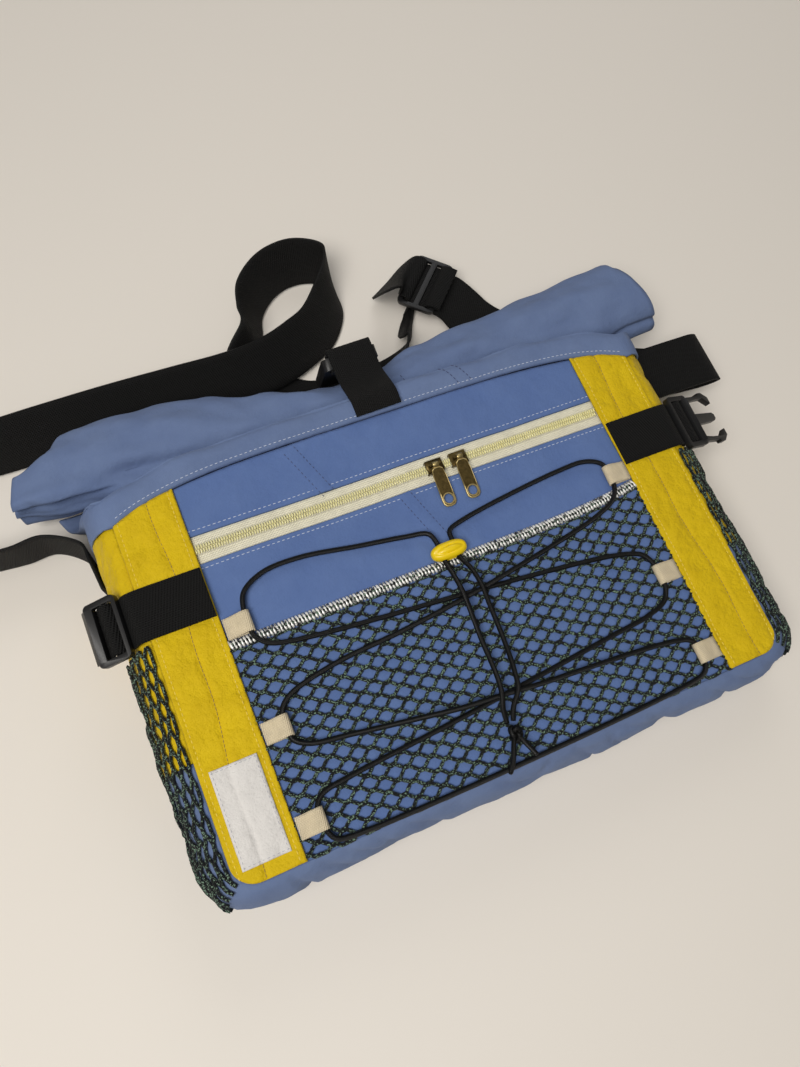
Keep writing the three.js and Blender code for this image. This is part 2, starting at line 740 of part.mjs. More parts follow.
function curvedNet(columns, rows, gapShare, place) {
  const points = [];
  const faces = [];
  const quad = (p, q, r, t) => faces.push(p, q, r, p, r, t);
  const layer = [0, 1].map((level) => {
    const corners = [];
    for (let i = 0; i <= rows; i += 1) {
      for (let j = 0; j <= columns; j += 1) {
        corners.push(points.length);
        points.push(place(j / columns, i / rows, level));
      }
    }
    return corners;
  });
  const corner = (level, i, j) => layer[level][i * (columns + 1) + j];
  for (let i = 0; i < rows; i += 1) {
    for (let j = 0; j < columns; j += 1) {
      const gaps = [0, 1].map((level) =>
        [[0, -1], [1, 0], [0, 1], [-1, 0]].map(([dx, dy]) => {
          points.push(place((j + 0.5 + dx * gapShare) / columns, (i + 0.5 + dy * gapShare) / rows, level));
          return points.length - 1;
        }),
      );
      for (const level of [0, 1]) {
        const around = [corner(level, i, j), corner(level, i, j + 1), corner(level, i + 1, j + 1), corner(level, i + 1, j)];
        for (let k = 0; k < 4; k += 1) {
          const next = (k + 1) % 4;
          const front = [around[k], around[next], gaps[level][k]];
          const bend = [around[next], gaps[level][next], gaps[level][k]];
          faces.push(...(level ? front : front.reverse()), ...(level ? bend : bend.reverse()));
        }
      }
      for (let k = 0; k < 4; k += 1) {
        const next = (k + 1) % 4;
        quad(gaps[0][k], gaps[1][k], gaps[1][next], gaps[0][next]);
      }
    }
  }
  const rim = [];
  for (let j = 0; j < columns; j += 1) {
    rim.push([0, j]);
  }
  for (let i = 0; i < rows; i += 1) {
    rim.push([i, columns]);
  }
  for (let j = columns; j > 0; j -= 1) {
    rim.push([rows, j]);
  }
  for (let i = rows; i > 0; i -= 1) {
    rim.push([i, 0]);
  }
  rim.forEach(([i, j], k) => {
    const [i2, j2] = rim[(k + 1) % rim.length];
    quad(corner(0, i, j), corner(0, i2, j2), corner(1, i2, j2), corner(1, i, j));
  });
  const geometry = new THREE.BufferGeometry();
  geometry.setAttribute("position", new THREE.Float32BufferAttribute(points.flatMap((p) => p.toArray()), 3));
  geometry.setIndex(faces.reverse());
  return geometry;
}

for (const side of [-1, 1]) {
  const place = (across, along, level) => {
    const angle = mix(sideNetStart, sideNetEnd, side > 0 ? across : 1 - across);
    const wallPlace = sideNetPlace(side, along);
    const lift = sideNetLift + level * netThickness;
    return wallPoint(wallPlace.x, wallPlace.y, wallPlace.nx, wallPlace.ny, angle, lift);
  };
  const name = side < 0 ? "left_side_net" : "right_side_net";
  add(name, "twine", curvedNet(sideNetColumns, sideNetLines.length - 1, 0.4, place));
}

// Tape loops hold the cord. Each row is one loop: its side and its middle's height up the front as a share.
const tapeRows = [
  { name: "left_top_loop", side: -1, up: 0.18 },
  { name: "left_middle_loop", side: -1, up: -0.378 },
  { name: "left_bottom_loop", side: -1, up: -0.85 },
  { name: "right_top_loop", side: 1, up: 0.235 },
  { name: "right_middle_loop", side: 1, up: -0.39 },
  { name: "right_bottom_loop", side: 1, up: -0.86 },
];
const tapeFoot = netFace + clearance;
const tapeInner = cordRadius + 1.5 * clearance;
const tapeOuter = tapeInner + tapeThickness;
const tapeCentre = tapeFoot + tapeThickness + tapeInner;
const tapeTip = tapeReach - tapeOuter;

function tapeProfile() {
  const shape = new THREE.Shape();
  const rootTop = tapeFoot + 2 * tapeThickness + 0.5;
  shape.moveTo(clearance, tapeFoot);
  const steps = 6;
  for (let i = 0; i <= steps; i += 1) {
    const angle = -Math.PI / 2 + (i / steps) * Math.PI;
    shape.lineTo(tapeTip + tapeOuter * Math.cos(angle), tapeCentre + tapeOuter * Math.sin(angle));
  }
  shape.lineTo(clearance, rootTop);
  const hole = new THREE.Path();
  for (let i = 0; i <= steps; i += 1) {
    const angle = Math.PI / 2 - (i / steps) * Math.PI;
    const x = tapeTip + tapeInner * Math.cos(angle);
    const z = tapeCentre + tapeInner * Math.sin(angle);
    if (i === 0) {
      hole.moveTo(x, z);
    } else {
      hole.lineTo(x, z);
    }
  }
  hole.lineTo(tapeTip - 2 * tapeOuter, tapeFoot + tapeThickness);
  hole.closePath();
  shape.holes.push(hole);
  return shape;
}

for (const row of tapeRows) {
  const geometry = new THREE.ExtrudeGeometry(tapeProfile(), { depth: tapeWidth, bevelEnabled: false });
  geometry.rotateX(Math.PI / 2);
  geometry.translate(0, tapeWidth / 2, 0);
  if (row.side > 0) {
    geometry.rotateZ(Math.PI);
  }
  geometry.translate(row.side * halfOpen, row.up * halfHeight, 0);
  add(row.name, "cream", onFront(geometry));
}

// The elastic cord's route over the front, from one end at the knot to the other: shares of half the open
// width and of half the front's height, and its middle's height above the net in cord diameters
const cordRoute = [
  [-0.05, -0.79, 1.2], [-0.045, -0.72, 2.2], [-0.03, -0.66, 3.05], [-0.015, -0.57, 2.75],
  [-0.005, -0.36, 1.8], [0.0, -0.2, 2.4], [0.0, -0.1, 3.05], [-0.005, 0.01, 2.5],
  [-0.012, 0.1, 1.62], [-0.012, 0.2, 1.58], [-0.03, 0.275, 1.3], [-0.13, 0.31, 0.8],
  [-0.34, 0.355, 0.6], [-0.6, 0.405, 0.6], [-0.77, 0.395, 0.7], [-0.87, 0.33, 0.85],
  [-0.895, 0.25, 0.9], [-0.895, 0.18, 0.9], [-0.895, 0.11, 0.9], [-0.86, 0.05, 0.8],
  [-0.79, 0.015, 0.7], [-0.05, -0.085, 0.6], [0.12, -0.105, 0.6], [0.78, -0.21, 0.65],
  [0.87, -0.26, 0.8], [0.895, -0.33, 0.9], [0.895, -0.39, 0.9], [0.895, -0.46, 0.9],
  [0.86, -0.53, 0.8], [0.76, -0.57, 0.65], [0.55, -0.595, 0.6], [-0.26, -0.68, 0.6],
  [-0.72, -0.72, 0.65], [-0.86, -0.745, 0.8], [-0.895, -0.79, 0.9], [-0.895, -0.85, 0.9],
  [-0.895, -0.905, 0.9], [-0.87, -0.96, 0.8], [-0.8, -0.98, 0.65], [0.8, -0.98, 0.65],
  [0.87, -0.96, 0.8], [0.895, -0.92, 0.9], [0.895, -0.86, 0.9], [0.895, -0.8, 0.9],
  [0.86, -0.765, 0.8], [0.12, -0.675, 1.75], [-0.02, -0.655, 1.8], [-0.2, -0.635, 1.7],
  [-0.42, -0.59, 0.9], [-0.66, -0.54, 0.6], [-0.84, -0.5, 0.75], [-0.895, -0.45, 0.9],
  [-0.895, -0.378, 0.9], [-0.895, -0.31, 0.9], [-0.85, -0.25, 0.8], [-0.64, -0.185, 0.65],
  [-0.3, -0.155, 1.0], [-0.04, -0.125, 1.75], [0.12, -0.1, 1.8], [0.25, -0.075, 1.7],
  [0.5, -0.02, 0.9], [0.74, 0.04, 0.65], [0.86, 0.1, 0.8], [0.895, 0.165, 0.9],
  [0.895, 0.235, 0.9], [0.89, 0.31, 0.85], [0.82, 0.36, 0.75], [0.68, 0.365, 0.65],
  [0.14, 0.285, 1.0], [0.065, 0.25, 1.5], [0.058, 0.2, 1.58], [0.058, 0.1, 1.62],
  [0.08, 0.01, 2.5], [0.09, -0.1, 3.05], [0.09, -0.2, 2.4], [0.085, -0.4, 1.8],
  [0.065, -0.57, 2.75], [0.045, -0.66, 3.05], [0.0, -0.73, 2.2], [-0.02, -0.79, 1.2],
].map(([across, up, lift]) => {
  const x = across * halfOpen;
  const y = up * halfHeight;
  return new THREE.Vector3(x, y, frontZ(x, y) + netFace + clearance + lift * cordDiameter);
});

class StationCurve extends THREE.CatmullRomCurve3 {
  // Steps fall on the curve's own points, so a short bend keeps its share of them
  getUtoTmapping(u) {
    return u;
  }
}

function circle(radius, sides) {
  const points = [];
  for (let i = 0; i < sides; i += 1) {
    const angle = (i / sides) * Math.PI * 2;
    points.push([radius * Math.cos(angle), radius * Math.sin(angle)]);
  }
  return outlineOf(points);
}

const cordCurve = new StationCurve(cordRoute, false, "centripetal");
const cordGeometry = new THREE.ExtrudeGeometry(circle(cordRadius, 8), {
  extrudePath: cordCurve,
  steps: cordRoute.length - 1,
  bevelEnabled: false,
});
add("elastic_cord", "webbing", cordGeometry);

// The toggle that grips both runs of the cord, with a slot through it along the bag
const toggleHeight = toggleWidth * 0.86;
const togglePlace = new THREE.Vector2(0.023 * halfOpen, 0.155 * halfHeight);
const slotHeight = cordDiameter + 3 * clearance;
const slotLength = toggleLength * 0.58;

function slotShape(length, height) {
  const shape = new THREE.Shape();
  const radius = height / 2;
  shape.absarc(length / 2 - radius, 0, radius, -Math.PI / 2, Math.PI / 2, false);
  shape.absarc(-length / 2 + radius, 0, radius, Math.PI / 2, (3 * Math.PI) / 2, false);
  return shape;
}

const bean = new THREE.CapsuleGeometry(toggleHeight / 2, toggleLength - toggleHeight, 4, 12);
bean.rotateZ(Math.PI / 2);
bean.scale(1, toggleWidth / toggleHeight, 1);
const slotCut = new THREE.ExtrudeGeometry(slotShape(slotLength, slotHeight), {
  depth: 2 * toggleWidth,
  bevelEnabled: false,
  curveSegments: 5,
});
slotCut.translate(0, 0, -toggleWidth);
slotCut.rotateX(Math.PI / 2);
const toggleBase = frontFrame(togglePlace.x, togglePlace.y);
const toggleLift = new THREE.Matrix4().makeTranslation(0, 0, netFace + clearance + toggleHeight / 2);
add("cord_toggle", "toggle", toGeometry(toSolid(bean).subtract(toSolid(slotCut))), toggleBase.multiply(toggleLift));

// The knot that joins the cord's two ends, with its two short tails
const knotPlace = new THREE.Vector3(-0.035 * halfOpen, -0.855 * halfHeight, 0);
const knotRadius = cordDiameter * 1.6;
const knotBall = new THREE.SphereGeometry(knotRadius, 8, 5);
knotBall.rotateX(Math.PI / 2);
knotBall.scale(1, 1.15, 0.75);
const knotLift = netFace + clearance + knotRadius * 0.75;
knotBall.translate(knotPlace.x, knotPlace.y, frontZ(knotPlace.x, knotPlace.y) + knotLift);

function tail(points) {
  const route = points.map(([x, y, lift]) => {
    const place = new THREE.Vector2(knotPlace.x + x * cordDiameter, knotPlace.y + y * cordDiameter);
    return new THREE.Vector3(place.x, place.y, frontZ(place.x, place.y) + netFace + lift * cordDiameter);
  });
  return new THREE.ExtrudeGeometry(circle(cordRadius * 0.95, 8), {
    extrudePath: new THREE.CatmullRomCurve3(route),
    steps: 6,
    bevelEnabled: false,
  });
}
add(
  "cord_knot",
  "webbing",
  toGeometry(
    join([
      toSolid(knotBall),
      toSolid(tail([[-0.2, 0.2, 1.3], [-1.5, -2, 2.0], [-2.8, -4.4, 2.3], [-4.2, -6.2, 2.0]])),
      toSolid(tail([[0.2, 0.2, 1.3], [0.8, -2, 2.1], [1.6, -4, 2.35], [2, -5, 2.4]])),
    ]),
  ),
);

// The blank label on the left strip
const labelX = -halfBody + stripWidth / 2;
const labelY = -0.685 * halfHeight;
add(
  "label",
  "label",
  frontBox(
    labelX - labelWidth / 2,
    labelX + labelWidth / 2,
    labelY - labelHeight / 2,
    labelY + labelHeight / 2,
    stripFace + clearance,
    stripFace + clearance + labelThickness,
  ),
);

// A ribbon seen edge on: the outline round a line of points, half the thickness to each side of it
function ribbonProfile(points, thickness) {
  const places = points.map(([p, q]) => new THREE.Vector2(p, q));
  const last = places.length - 1;
  const upper = [];
  const lower = [];
  places.forEach((place, i) => {
    const before = place.clone().sub(places[Math.max(0, i - 1)]);
    const after = places[Math.min(last, i + 1)].clone().sub(place);
    const a = (i === 0 ? after : before).normalize();
    const b = (i === last ? before : after).normalize();
    const along = a.clone().add(b).normalize();
    const reach = thickness / 2 / Math.max(along.dot(b), 0.5);
    upper.push([place.x - along.y * reach, place.y + along.x * reach]);
    lower.push([place.x + along.y * reach, place.y - along.x * reach]);
  });
  return outlineOf([...lower, ...upper.reverse()]);
}

function smoothed(points, steps) {
  const curve = new THREE.SplineCurve(points.map(([p, q]) => new THREE.Vector2(p, q)));
  return curve.getPoints(steps).map((place) => [place.x, place.y]);
}

// Drawn in a plane of "out" and "up", then given its width along the third axis
function ribbonSolid(points, thickness, width) {
  const geometry = new THREE.ExtrudeGeometry(ribbonProfile(points, thickness), { depth: width, bevelEnabled: false });
  geometry.translate(0, 0, -width / 2);
  geometry.rotateX(Math.PI / 2);
  return geometry;
}

// A buckle half that the tab's webbing is threaded through: a frame with a middle bar.
// It is drawn with x away from the bag and z up, its near bar's outer edge at x 0.
const nearBar = 2.6;
const farBar = 5.4;
const middleBarPlace = 8;
const middleBarWidth = 2.2;
const windowHalf = tabWebbing / 2 + 2 * clearance;

function roundedRect(x0, x1, y0, y1, radius) {
  const shape = new THREE.Shape();
  shape.absarc(x1 - radius, y1 - radius, radius, 0, Math.PI / 2, false);
  shape.absarc(x0 + radius, y1 - radius, radius, Math.PI / 2, Math.PI, false);
  shape.absarc(x0 + radius, y0 + radius, radius, Math.PI, 1.5 * Math.PI, false);
  shape.absarc(x1 - radius, y0 + radius, radius, 1.5 * Math.PI, 2 * Math.PI, false);
  return shape;
}

function plate(shape, low, high) {
  const geometry = new THREE.ExtrudeGeometry(shape, { depth: high - low, bevelEnabled: false, curveSegments: 3 });
  geometry.translate(0, 0, low);
  return toSolid(geometry);
}

function ladder() {
  const half = ladderWidth / 2;
  const thick = ladderThickness / 2;
  const frame = plate(roundedRect(0, ladderLength, -half, half, 3), -thick, thick);
  const opening = plate(roundedRect(nearBar, ladderLength - farBar, -windowHalf, windowHalf, 1), -2 * thick, 2 * thick);
  const bar = block(middleBarPlace, middleBarPlace + middleBarWidth, -windowHalf - 1, windowHalf + 1, -thick, 0);
  const lip = ribbonSolid(
    [
      [ladderLength - farBar + 0.5, thick - 1],
      [ladderLength - 1.5, thick + 0.2],
      [ladderLength + 1.6, thick - 2.2],
    ],
    2,
    ladderWidth - 6,
  );
  return join([frame.subtract(opening), bar, toSolid(lip)]);
}

// The right half also carries two sprung arms and a guide that reach away from the bag
function prongs() {
  const half = ladderWidth / 2;
  const start = ladderLength - 1;
  const end = ladderLength + prongLength;
  const thick = ladderThickness / 2;
  const arm = (side) =>
    outlineOf([
      [start, side * (half - 2)],
      [start, side * (half - 6)],
      [mix(start, end, 0.35), side * (half - 4.5)],
      [mix(start, end, 0.75), side * (half - 4)],
      [end, side * (half - 9)],
      [end, side * (half - 4)],
      [mix(start, end, 0.8), side * half],
      [mix(start, end, 0.62), side * half],
      [mix(start, end, 0.6), side * (half - 1.6)],
      [mix(start, end, 0.3), side * (half - 2)],
    ]);
  const guide = outlineOf([
    [start, -4],
    [end - 5, -3],
    [end - 3, -1.5],
    [end - 3, 1.5],
    [end - 5, 3],
    [start, 4],
  ]);
  return [plate(arm(1), -thick, thick), plate(arm(-1), -thick, thick), plate(guide, -thick, thick)];
}

// The webbing tab lies on the strip, bends down over the bag's edge and is threaded through the ladder
const tabLift = stripFace + clearance + tabThickness / 2;
const ladderOut = stripWidth + 11;
const ladderUp = -0.6;
const tilt = THREE.MathUtils.degToRad(ladderTilt);
function fromLadder(d, h) {
  return [
    ladderOut + d * Math.cos(tilt) + h * Math.sin(tilt),
    ladderUp - d * Math.sin(tilt) + h * Math.cos(tilt),
  ];
}
const underBar = -ladderThickness / 2 - clearance - tabThickness / 2;
const overBar = clearance + tabThickness / 2;
const windowEnd = ladderLength - farBar;
const tabRoute = [
  ...smoothed(
    [
      [1, tabLift],
      [stripWidth * 0.5, tabLift],
      [stripWidth * 0.9, tabLift],
      fromLadder(-6, underBar + 3.6),
      fromLadder(0, underBar),
    ],
    14,
  ),
  fromLadder(nearBar + 0.6, underBar),
  fromLadder(middleBarPlace - 0.8, overBar),
  fromLadder(middleBarPlace + middleBarWidth + 0.7, overBar),
  fromLadder(windowEnd - 0.6, underBar),
  fromLadder(ladderLength - 1, underBar),
];
for (const side of [-1, 1]) {
  const name = side < 0 ? "left" : "right";
  const base = frontFrame(side * halfOpen, tabPlace);
  if (side < 0) {
    base.multiply(new THREE.Matrix4().makeRotationZ(Math.PI));
  }
  add(`${name}_tab`, "webbing", ribbonSolid(tabRoute, tabThickness, tabWebbing), base);
  const solid = side < 0 ? ladder() : join([ladder(), ...prongs()]);
  const seat = base.clone().multiply(new THREE.Matrix4().makeTranslation(ladderOut, 0, ladderUp));
  add(`${name}_buckle`, "plastic", toGeometry(solid), seat.multiply(new THREE.Matrix4().makeRotationY(tilt)));
}

// The closed buckle behind the roll. It is drawn with x down its length from the upper end and z out
// from the roll, and its two webbings wrap the end bars.
const closureX = 0;
const closureRoll = rollAt(closureX);
const buckleAngle = THREE.MathUtils.degToRad(18);
const buckleOff = closureRoll.deep + 2 * clearance + tabThickness + clearance + buckleThickness / 2;
const buckleMiddle = new THREE.Vector3(
  closureX,
  closureRoll.y + buckleOff * Math.cos(buckleAngle),
  closureRoll.z + buckleOff * Math.sin(buckleAngle),
);
const down = new THREE.Vector3(0, Math.sin(buckleAngle), -Math.cos(buckleAngle));
const out = new THREE.Vector3(0, Math.cos(buckleAngle), Math.sin(buckleAngle));
const buckleFrame = new THREE.Matrix4().makeBasis(down, down.clone().cross(out).negate(), out);
buckleFrame.setPosition(buckleMiddle);
const buckleHalf = buckleLength / 2;
const endSlot = 5;
const buckleBody = plate(
  roundedRect(-buckleHalf, buckleHalf, -ladderWidth / 2, ladderWidth / 2, 4),
  -buckleThickness / 2,
  buckleThickness / 2,
);
const slots = [-1, 1].map((end) => {
  const from = end < 0 ? -buckleHalf + nearBar : buckleHalf - nearBar - endSlot;
  return plate(roundedRect(from, from + endSlot, -windowHalf, windowHalf, 1), -buckleThickness, buckleThickness);
});
add("closure_buckle", "plastic", toGeometry(buckleBody.subtract(slots[0]).subtract(slots[1])), buckleFrame);

function fromBuckle(d, h) {
  return [
    buckleMiddle.y + d * down.y + h * out.y,
    buckleMiddle.z + d * down.z + h * out.z,
  ];
}
const skin = buckleThickness / 2 + clearance + tabThickness / 2;
const bandTop = bandFront(closureX, bandRows[1]);
const bandStart = bandFront(closureX, bandRows[0]);
const crest = bandFront(closureX, bandRows[2]);
const bandEnd = bandBack(closureX, bandRows[bandRows.length - 1], bandRows.length - 1);
const strapOver = clearance + tabThickness / 2;
const slotPlace = buckleHalf - nearBar - endSlot / 2;
const closureRoute = [
  ...smoothed(
    [
      [bandStart.y + 1, bandStart.z + strapOver + 1],
      [bandTop.y, bandTop.z + strapOver + 1],
      [crest.y, crest.z + strapOver + 1.2],
      [mix(crest.y, buckleMiddle.y, 0.45), mix(crest.z, buckleMiddle.z, 0.16)],
      fromBuckle(-buckleHalf - 6, skin + 0.6),
      fromBuckle(-buckleHalf, skin),
    ],
    18,
  ),
  fromBuckle(-slotPlace, skin),
  fromBuckle(-slotPlace, -skin),
  fromBuckle(-buckleHalf - 3, -skin),
];
const anchorRoute = [
  fromBuckle(buckleHalf + 2, -skin),
  fromBuckle(slotPlace, -skin),
  fromBuckle(slotPlace, skin),
  ...smoothed(
    [
      fromBuckle(buckleHalf, skin),
      fromBuckle(buckleHalf + 5, skin - 3),
      [closureRoll.y + closureRoll.deep * 0.75, closureRoll.z - closureRoll.thick * 1.28],
      [closureRoll.y, closureRoll.z - closureRoll.thick - 6],
      [bandEnd.y + cloth + 3 * clearance, bandEnd.z],
    ],
    14,
  ),
];
for (const [name, route] of [
  ["closure_strap", closureRoute],
  ["closure_anchor", anchorRoute],
]) {
  const geometry = ribbonSolid(route, tabThickness, tabWebbing);
  geometry.rotateZ(Math.PI / 2);
  geometry.translate(closureX, 0, 0);
  add(name, "webbing", geometry);
}

// Straps that lie free. Each row is a station: the lower or nearer edge's place as shares of half the
// body's width, half the front's height and the webbing's width, and the way that the webbing's width
// points, as a turn round the vertical and a lean up from the floor.
function strapSolid(rows, width, thickness, steps) {
  const places = rows.map((row) => new THREE.Vector3(row.x * halfBody, row.y * halfHeight, row.z * width));
  const widths = rows.map((row) => {
    const turn = THREE.MathUtils.degToRad(row.turn);
    const lean = THREE.MathUtils.degToRad(row.lean);
    return new THREE.Vector3(Math.cos(turn) * Math.cos(lean), Math.sin(turn) * Math.cos(lean), Math.sin(lean));
  });
  const route = new THREE.CatmullRomCurve3(places, false, "centripetal");
  const pointing = new THREE.CatmullRomCurve3(widths, false, "centripetal");
  const surface = (u, v) => {
    const direction = pointing.getPoint(u).normalize();
    return route.getPoint(u).addScaledVector(direction, v * width);
  };
  const { grid, normals } = sample(surface, steps, 3);
  return wall(offset(grid, normals, thickness / 2), offset(grid, normals, -thickness / 2));
}
const shoulderRows = [
  { x: -1.128, y: 0.739, z: 0.250, turn: 100, lean: 90 },
  { x: -1.144, y: 0.937, z: 0.200, turn: 40, lean: 90 },
  { x: -1.201, y: 1.117, z: 0.075, turn: -30, lean: 80 },
  { x: -1.299, y: 1.234, z: 0.050, turn: -60, lean: 84 },
  { x: -1.402, y: 1.234, z: 0.050, turn: -80, lean: 84 },
  { x: -1.511, y: 1.252, z: 0.050, turn: -100, lean: 84 },
  { x: -1.695, y: 1.288, z: 0.050, turn: -110, lean: 84 },
  { x: -1.897, y: 1.351, z: 0.050, turn: -140, lean: 82 },
  { x: -2.023, y: 1.550, z: 0.050, turn: 180, lean: 80 },
  { x: -2.040, y: 1.757, z: 0.050, turn: 170, lean: 70 },
  { x: -1.925, y: 1.910, z: 0.050, turn: 110, lean: 68 },
  { x: -1.724, y: 1.928, z: 0.050, turn: 90, lean: 65 },
  { x: -1.408, y: 1.874, z: 0.050, turn: 90, lean: 55 },
  { x: -1.178, y: 1.865, z: 0.050, turn: 92, lean: 52 },
  { x: -0.902, y: 1.856, z: 0.050, turn: 92, lean: 52 },
  { x: -0.632, y: 1.829, z: 0.075, turn: 92, lean: 52 },
  { x: -0.402, y: 1.802, z: 0.113, turn: 92, lean: 52 },
  { x: -0.218, y: 1.820, z: 0.138, turn: 105, lean: 50 },
  { x: -0.069, y: 1.901, z: 0.113, turn: 115, lean: 50 },
  { x: 0.052, y: 2.018, z: 0.050, turn: 130, lean: 52 },
  { x: 0.121, y: 2.144, z: 0.050, turn: 130, lean: 55 },
  { x: 0.155, y: 2.252, z: 0.050, turn: 140, lean: 62 },
  { x: 0.161, y: 2.378, z: 0.050, turn: 135, lean: 75 },
  { x: 0.144, y: 2.495, z: 0.050, turn: 90, lean: 78 },
  { x: 0.057, y: 2.572, z: 0.050, turn: 95, lean: 72 },
  { x: -0.034, y: 2.577, z: 0.050, turn: 100, lean: 70 },
  { x: -0.115, y: 2.523, z: 0.050, turn: 115, lean: 68 },
  { x: -0.190, y: 2.405, z: 0.050, turn: 140, lean: 68 },
  { x: -0.218, y: 2.279, z: 0.050, turn: 165, lean: 70 },
  { x: -0.241, y: 2.162, z: 0.050, turn: 180, lean: 72 },
  { x: -0.230, y: 2.072, z: 0.037, turn: 195, lean: 20 },
  { x: -0.195, y: 1.946, z: 0.030, turn: 205, lean: 1 },
  { x: -0.126, y: 1.829, z: 0.030, turn: 235, lean: 1 },
  { x: 0.029, y: 1.766, z: 0.030, turn: 262, lean: 1 },
  { x: 0.201, y: 1.775, z: 0.037, turn: 262, lean: 3 },
  { x: 0.316, y: 1.811, z: 0.050, turn: 250, lean: 35 },
  { x: 0.379, y: 1.865, z: 0.050, turn: 238, lean: 60 },
  { x: 0.420, y: 1.982, z: 0.062, turn: 232, lean: 40 },
  { x: 0.477, y: 2.126, z: 0.087, turn: 227, lean: 12 },
  { x: 0.546, y: 2.270, z: 0.100, turn: 225, lean: 3 },
  { x: 0.589, y: 2.340, z: 0.200, turn: 225, lean: 0 },
  { x: 0.589, y: 2.340, z: 0.325, turn: 225, lean: 0 },
  { x: 0.588, y: 2.341, z: 0.438, turn: 225, lean: 0 },
  { x: 0.578, y: 2.358, z: 0.495, turn: 225, lean: 0 },
  { x: 0.549, y: 2.392, z: 0.490, turn: 228, lean: 3 },
  { x: 0.483, y: 2.387, z: 0.350, turn: 244, lean: 28 },
  { x: 0.391, y: 2.324, z: 0.200, turn: 260, lean: 48 },
  { x: 0.305, y: 2.261, z: 0.125, turn: 270, lean: 58 },
];
add("shoulder_strap", "webbing", strapSolid(shoulderRows, strapWebbing, strapThickness, 80));

const shortRows = [
  { x: 0.530, y: 1.923, z: 0.485, turn: 45, lean: 0 },
  { x: 0.506, y: 1.961, z: 0.490, turn: 45, lean: 0 },
  { x: 0.487, y: 1.992, z: 0.463, turn: 45, lean: 0 },
  { x: 0.480, y: 2.003, z: 0.400, turn: 45, lean: 0 },
  { x: 0.487, y: 1.992, z: 0.335, turn: 45, lean: 0 },
  { x: 0.506, y: 1.961, z: 0.315, turn: 45, lean: 0 },
  { x: 0.534, y: 1.916, z: 0.275, turn: 42, lean: 0 },
  { x: 0.563, y: 1.829, z: 0.175, turn: 37, lean: 2 },
  { x: 0.598, y: 1.730, z: 0.087, turn: 36, lean: 2 },
  { x: 0.655, y: 1.631, z: 0.033, turn: 38, lean: 1 },
  { x: 0.816, y: 1.423, z: 0.030, turn: 43, lean: 1 },
  { x: 0.989, y: 1.189, z: 0.030, turn: 48, lean: 1 },
  { x: 1.149, y: 0.955, z: 0.050, turn: 57, lean: 2 },
  { x: 1.276, y: 0.811, z: 0.200, turn: 70, lean: 4 },
  { x: 1.391, y: 0.730, z: 0.500, turn: 82, lean: 3 },
  { x: 1.448, y: 0.703, z: 0.650, turn: 88, lean: 2 },
  { x: 1.477, y: 0.694, z: 0.750, turn: 88, lean: 1 },
  { x: 1.448, y: 0.694, z: 0.840, turn: 88, lean: 1 },
  { x: 1.368, y: 0.694, z: 0.880, turn: 88, lean: 1 },
  { x: 1.241, y: 0.694, z: 0.915, turn: 88, lean: 1 },
  { x: 1.129, y: 0.694, z: 0.935, turn: 89, lean: 1 },
];
add("short_strap", "webbing", strapSolid(shortRows, strapWebbing, strapThickness, 40));

// The adjuster joins the long strap to the short one: a frame with two openings on either side of a bar
const adjusterPlace = new THREE.Vector3(0.534 * halfBody, 2.17 * halfHeight, 0.4 * strapWebbing);
const adjusterHalf = adjusterWidth / 2;
const adjusterBar = 4;
const adjusterWindow = strapWebbing / 2 + 3 * clearance;
const adjusterTurn = new THREE.Matrix4().makeRotationZ(THREE.MathUtils.degToRad(-45));
const adjusterBody = plate(
  roundedRect(-adjusterLength / 2, adjusterLength / 2, -adjusterHalf, adjusterHalf, 4),
  -adjusterThickness / 2,
  adjusterThickness / 2,
);
const adjusterOpenings = [-1, 1].map((end) => {
  const inner = end * (adjusterBar / 2);
  const outer = end * (adjusterLength / 2 - adjusterBar);
  return plate(
    roundedRect(Math.min(inner, outer), Math.max(inner, outer), -adjusterWindow, adjusterWindow, 1),
    -adjusterThickness,
    adjusterThickness,
  );
});
const adjusterMatrix = new THREE.Matrix4().setPosition(adjusterPlace).multiply(adjusterTurn);
add(
  "strap_adjuster",
  "plastic",
  toGeometry(adjusterBody.subtract(adjusterOpenings[0]).subtract(adjusterOpenings[1])),
  adjusterMatrix,
);

export default group;
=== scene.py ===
from math import asin, copysign, cos, degrees, exp, hypot, pi, radians, sin, sqrt, tau

import bmesh
import bpy
from mathutils import Matrix, Vector, noise


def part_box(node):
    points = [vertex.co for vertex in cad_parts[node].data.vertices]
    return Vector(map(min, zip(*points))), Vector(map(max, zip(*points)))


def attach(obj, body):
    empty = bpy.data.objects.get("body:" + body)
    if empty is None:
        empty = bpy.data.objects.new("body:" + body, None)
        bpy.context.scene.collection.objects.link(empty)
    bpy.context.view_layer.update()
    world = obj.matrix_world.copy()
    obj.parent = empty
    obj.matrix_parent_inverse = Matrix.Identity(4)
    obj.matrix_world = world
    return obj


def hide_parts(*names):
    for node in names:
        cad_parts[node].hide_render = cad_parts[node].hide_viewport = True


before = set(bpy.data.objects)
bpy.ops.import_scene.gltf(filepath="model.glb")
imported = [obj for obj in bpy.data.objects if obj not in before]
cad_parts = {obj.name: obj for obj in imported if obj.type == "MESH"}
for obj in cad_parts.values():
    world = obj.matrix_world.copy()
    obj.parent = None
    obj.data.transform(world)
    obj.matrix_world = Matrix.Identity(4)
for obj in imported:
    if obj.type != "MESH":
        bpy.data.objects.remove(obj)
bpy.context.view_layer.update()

# The view: a phone camera held over the bag's lower left corner, looking down at its front.
# The place and the angles were worked out from the bag's own edges.
camera_place = Vector((-0.110, -0.109, 0.528))
camera_heading = radians(-31.7)
camera_height = radians(69.0)
camera_roll = radians(9.1)
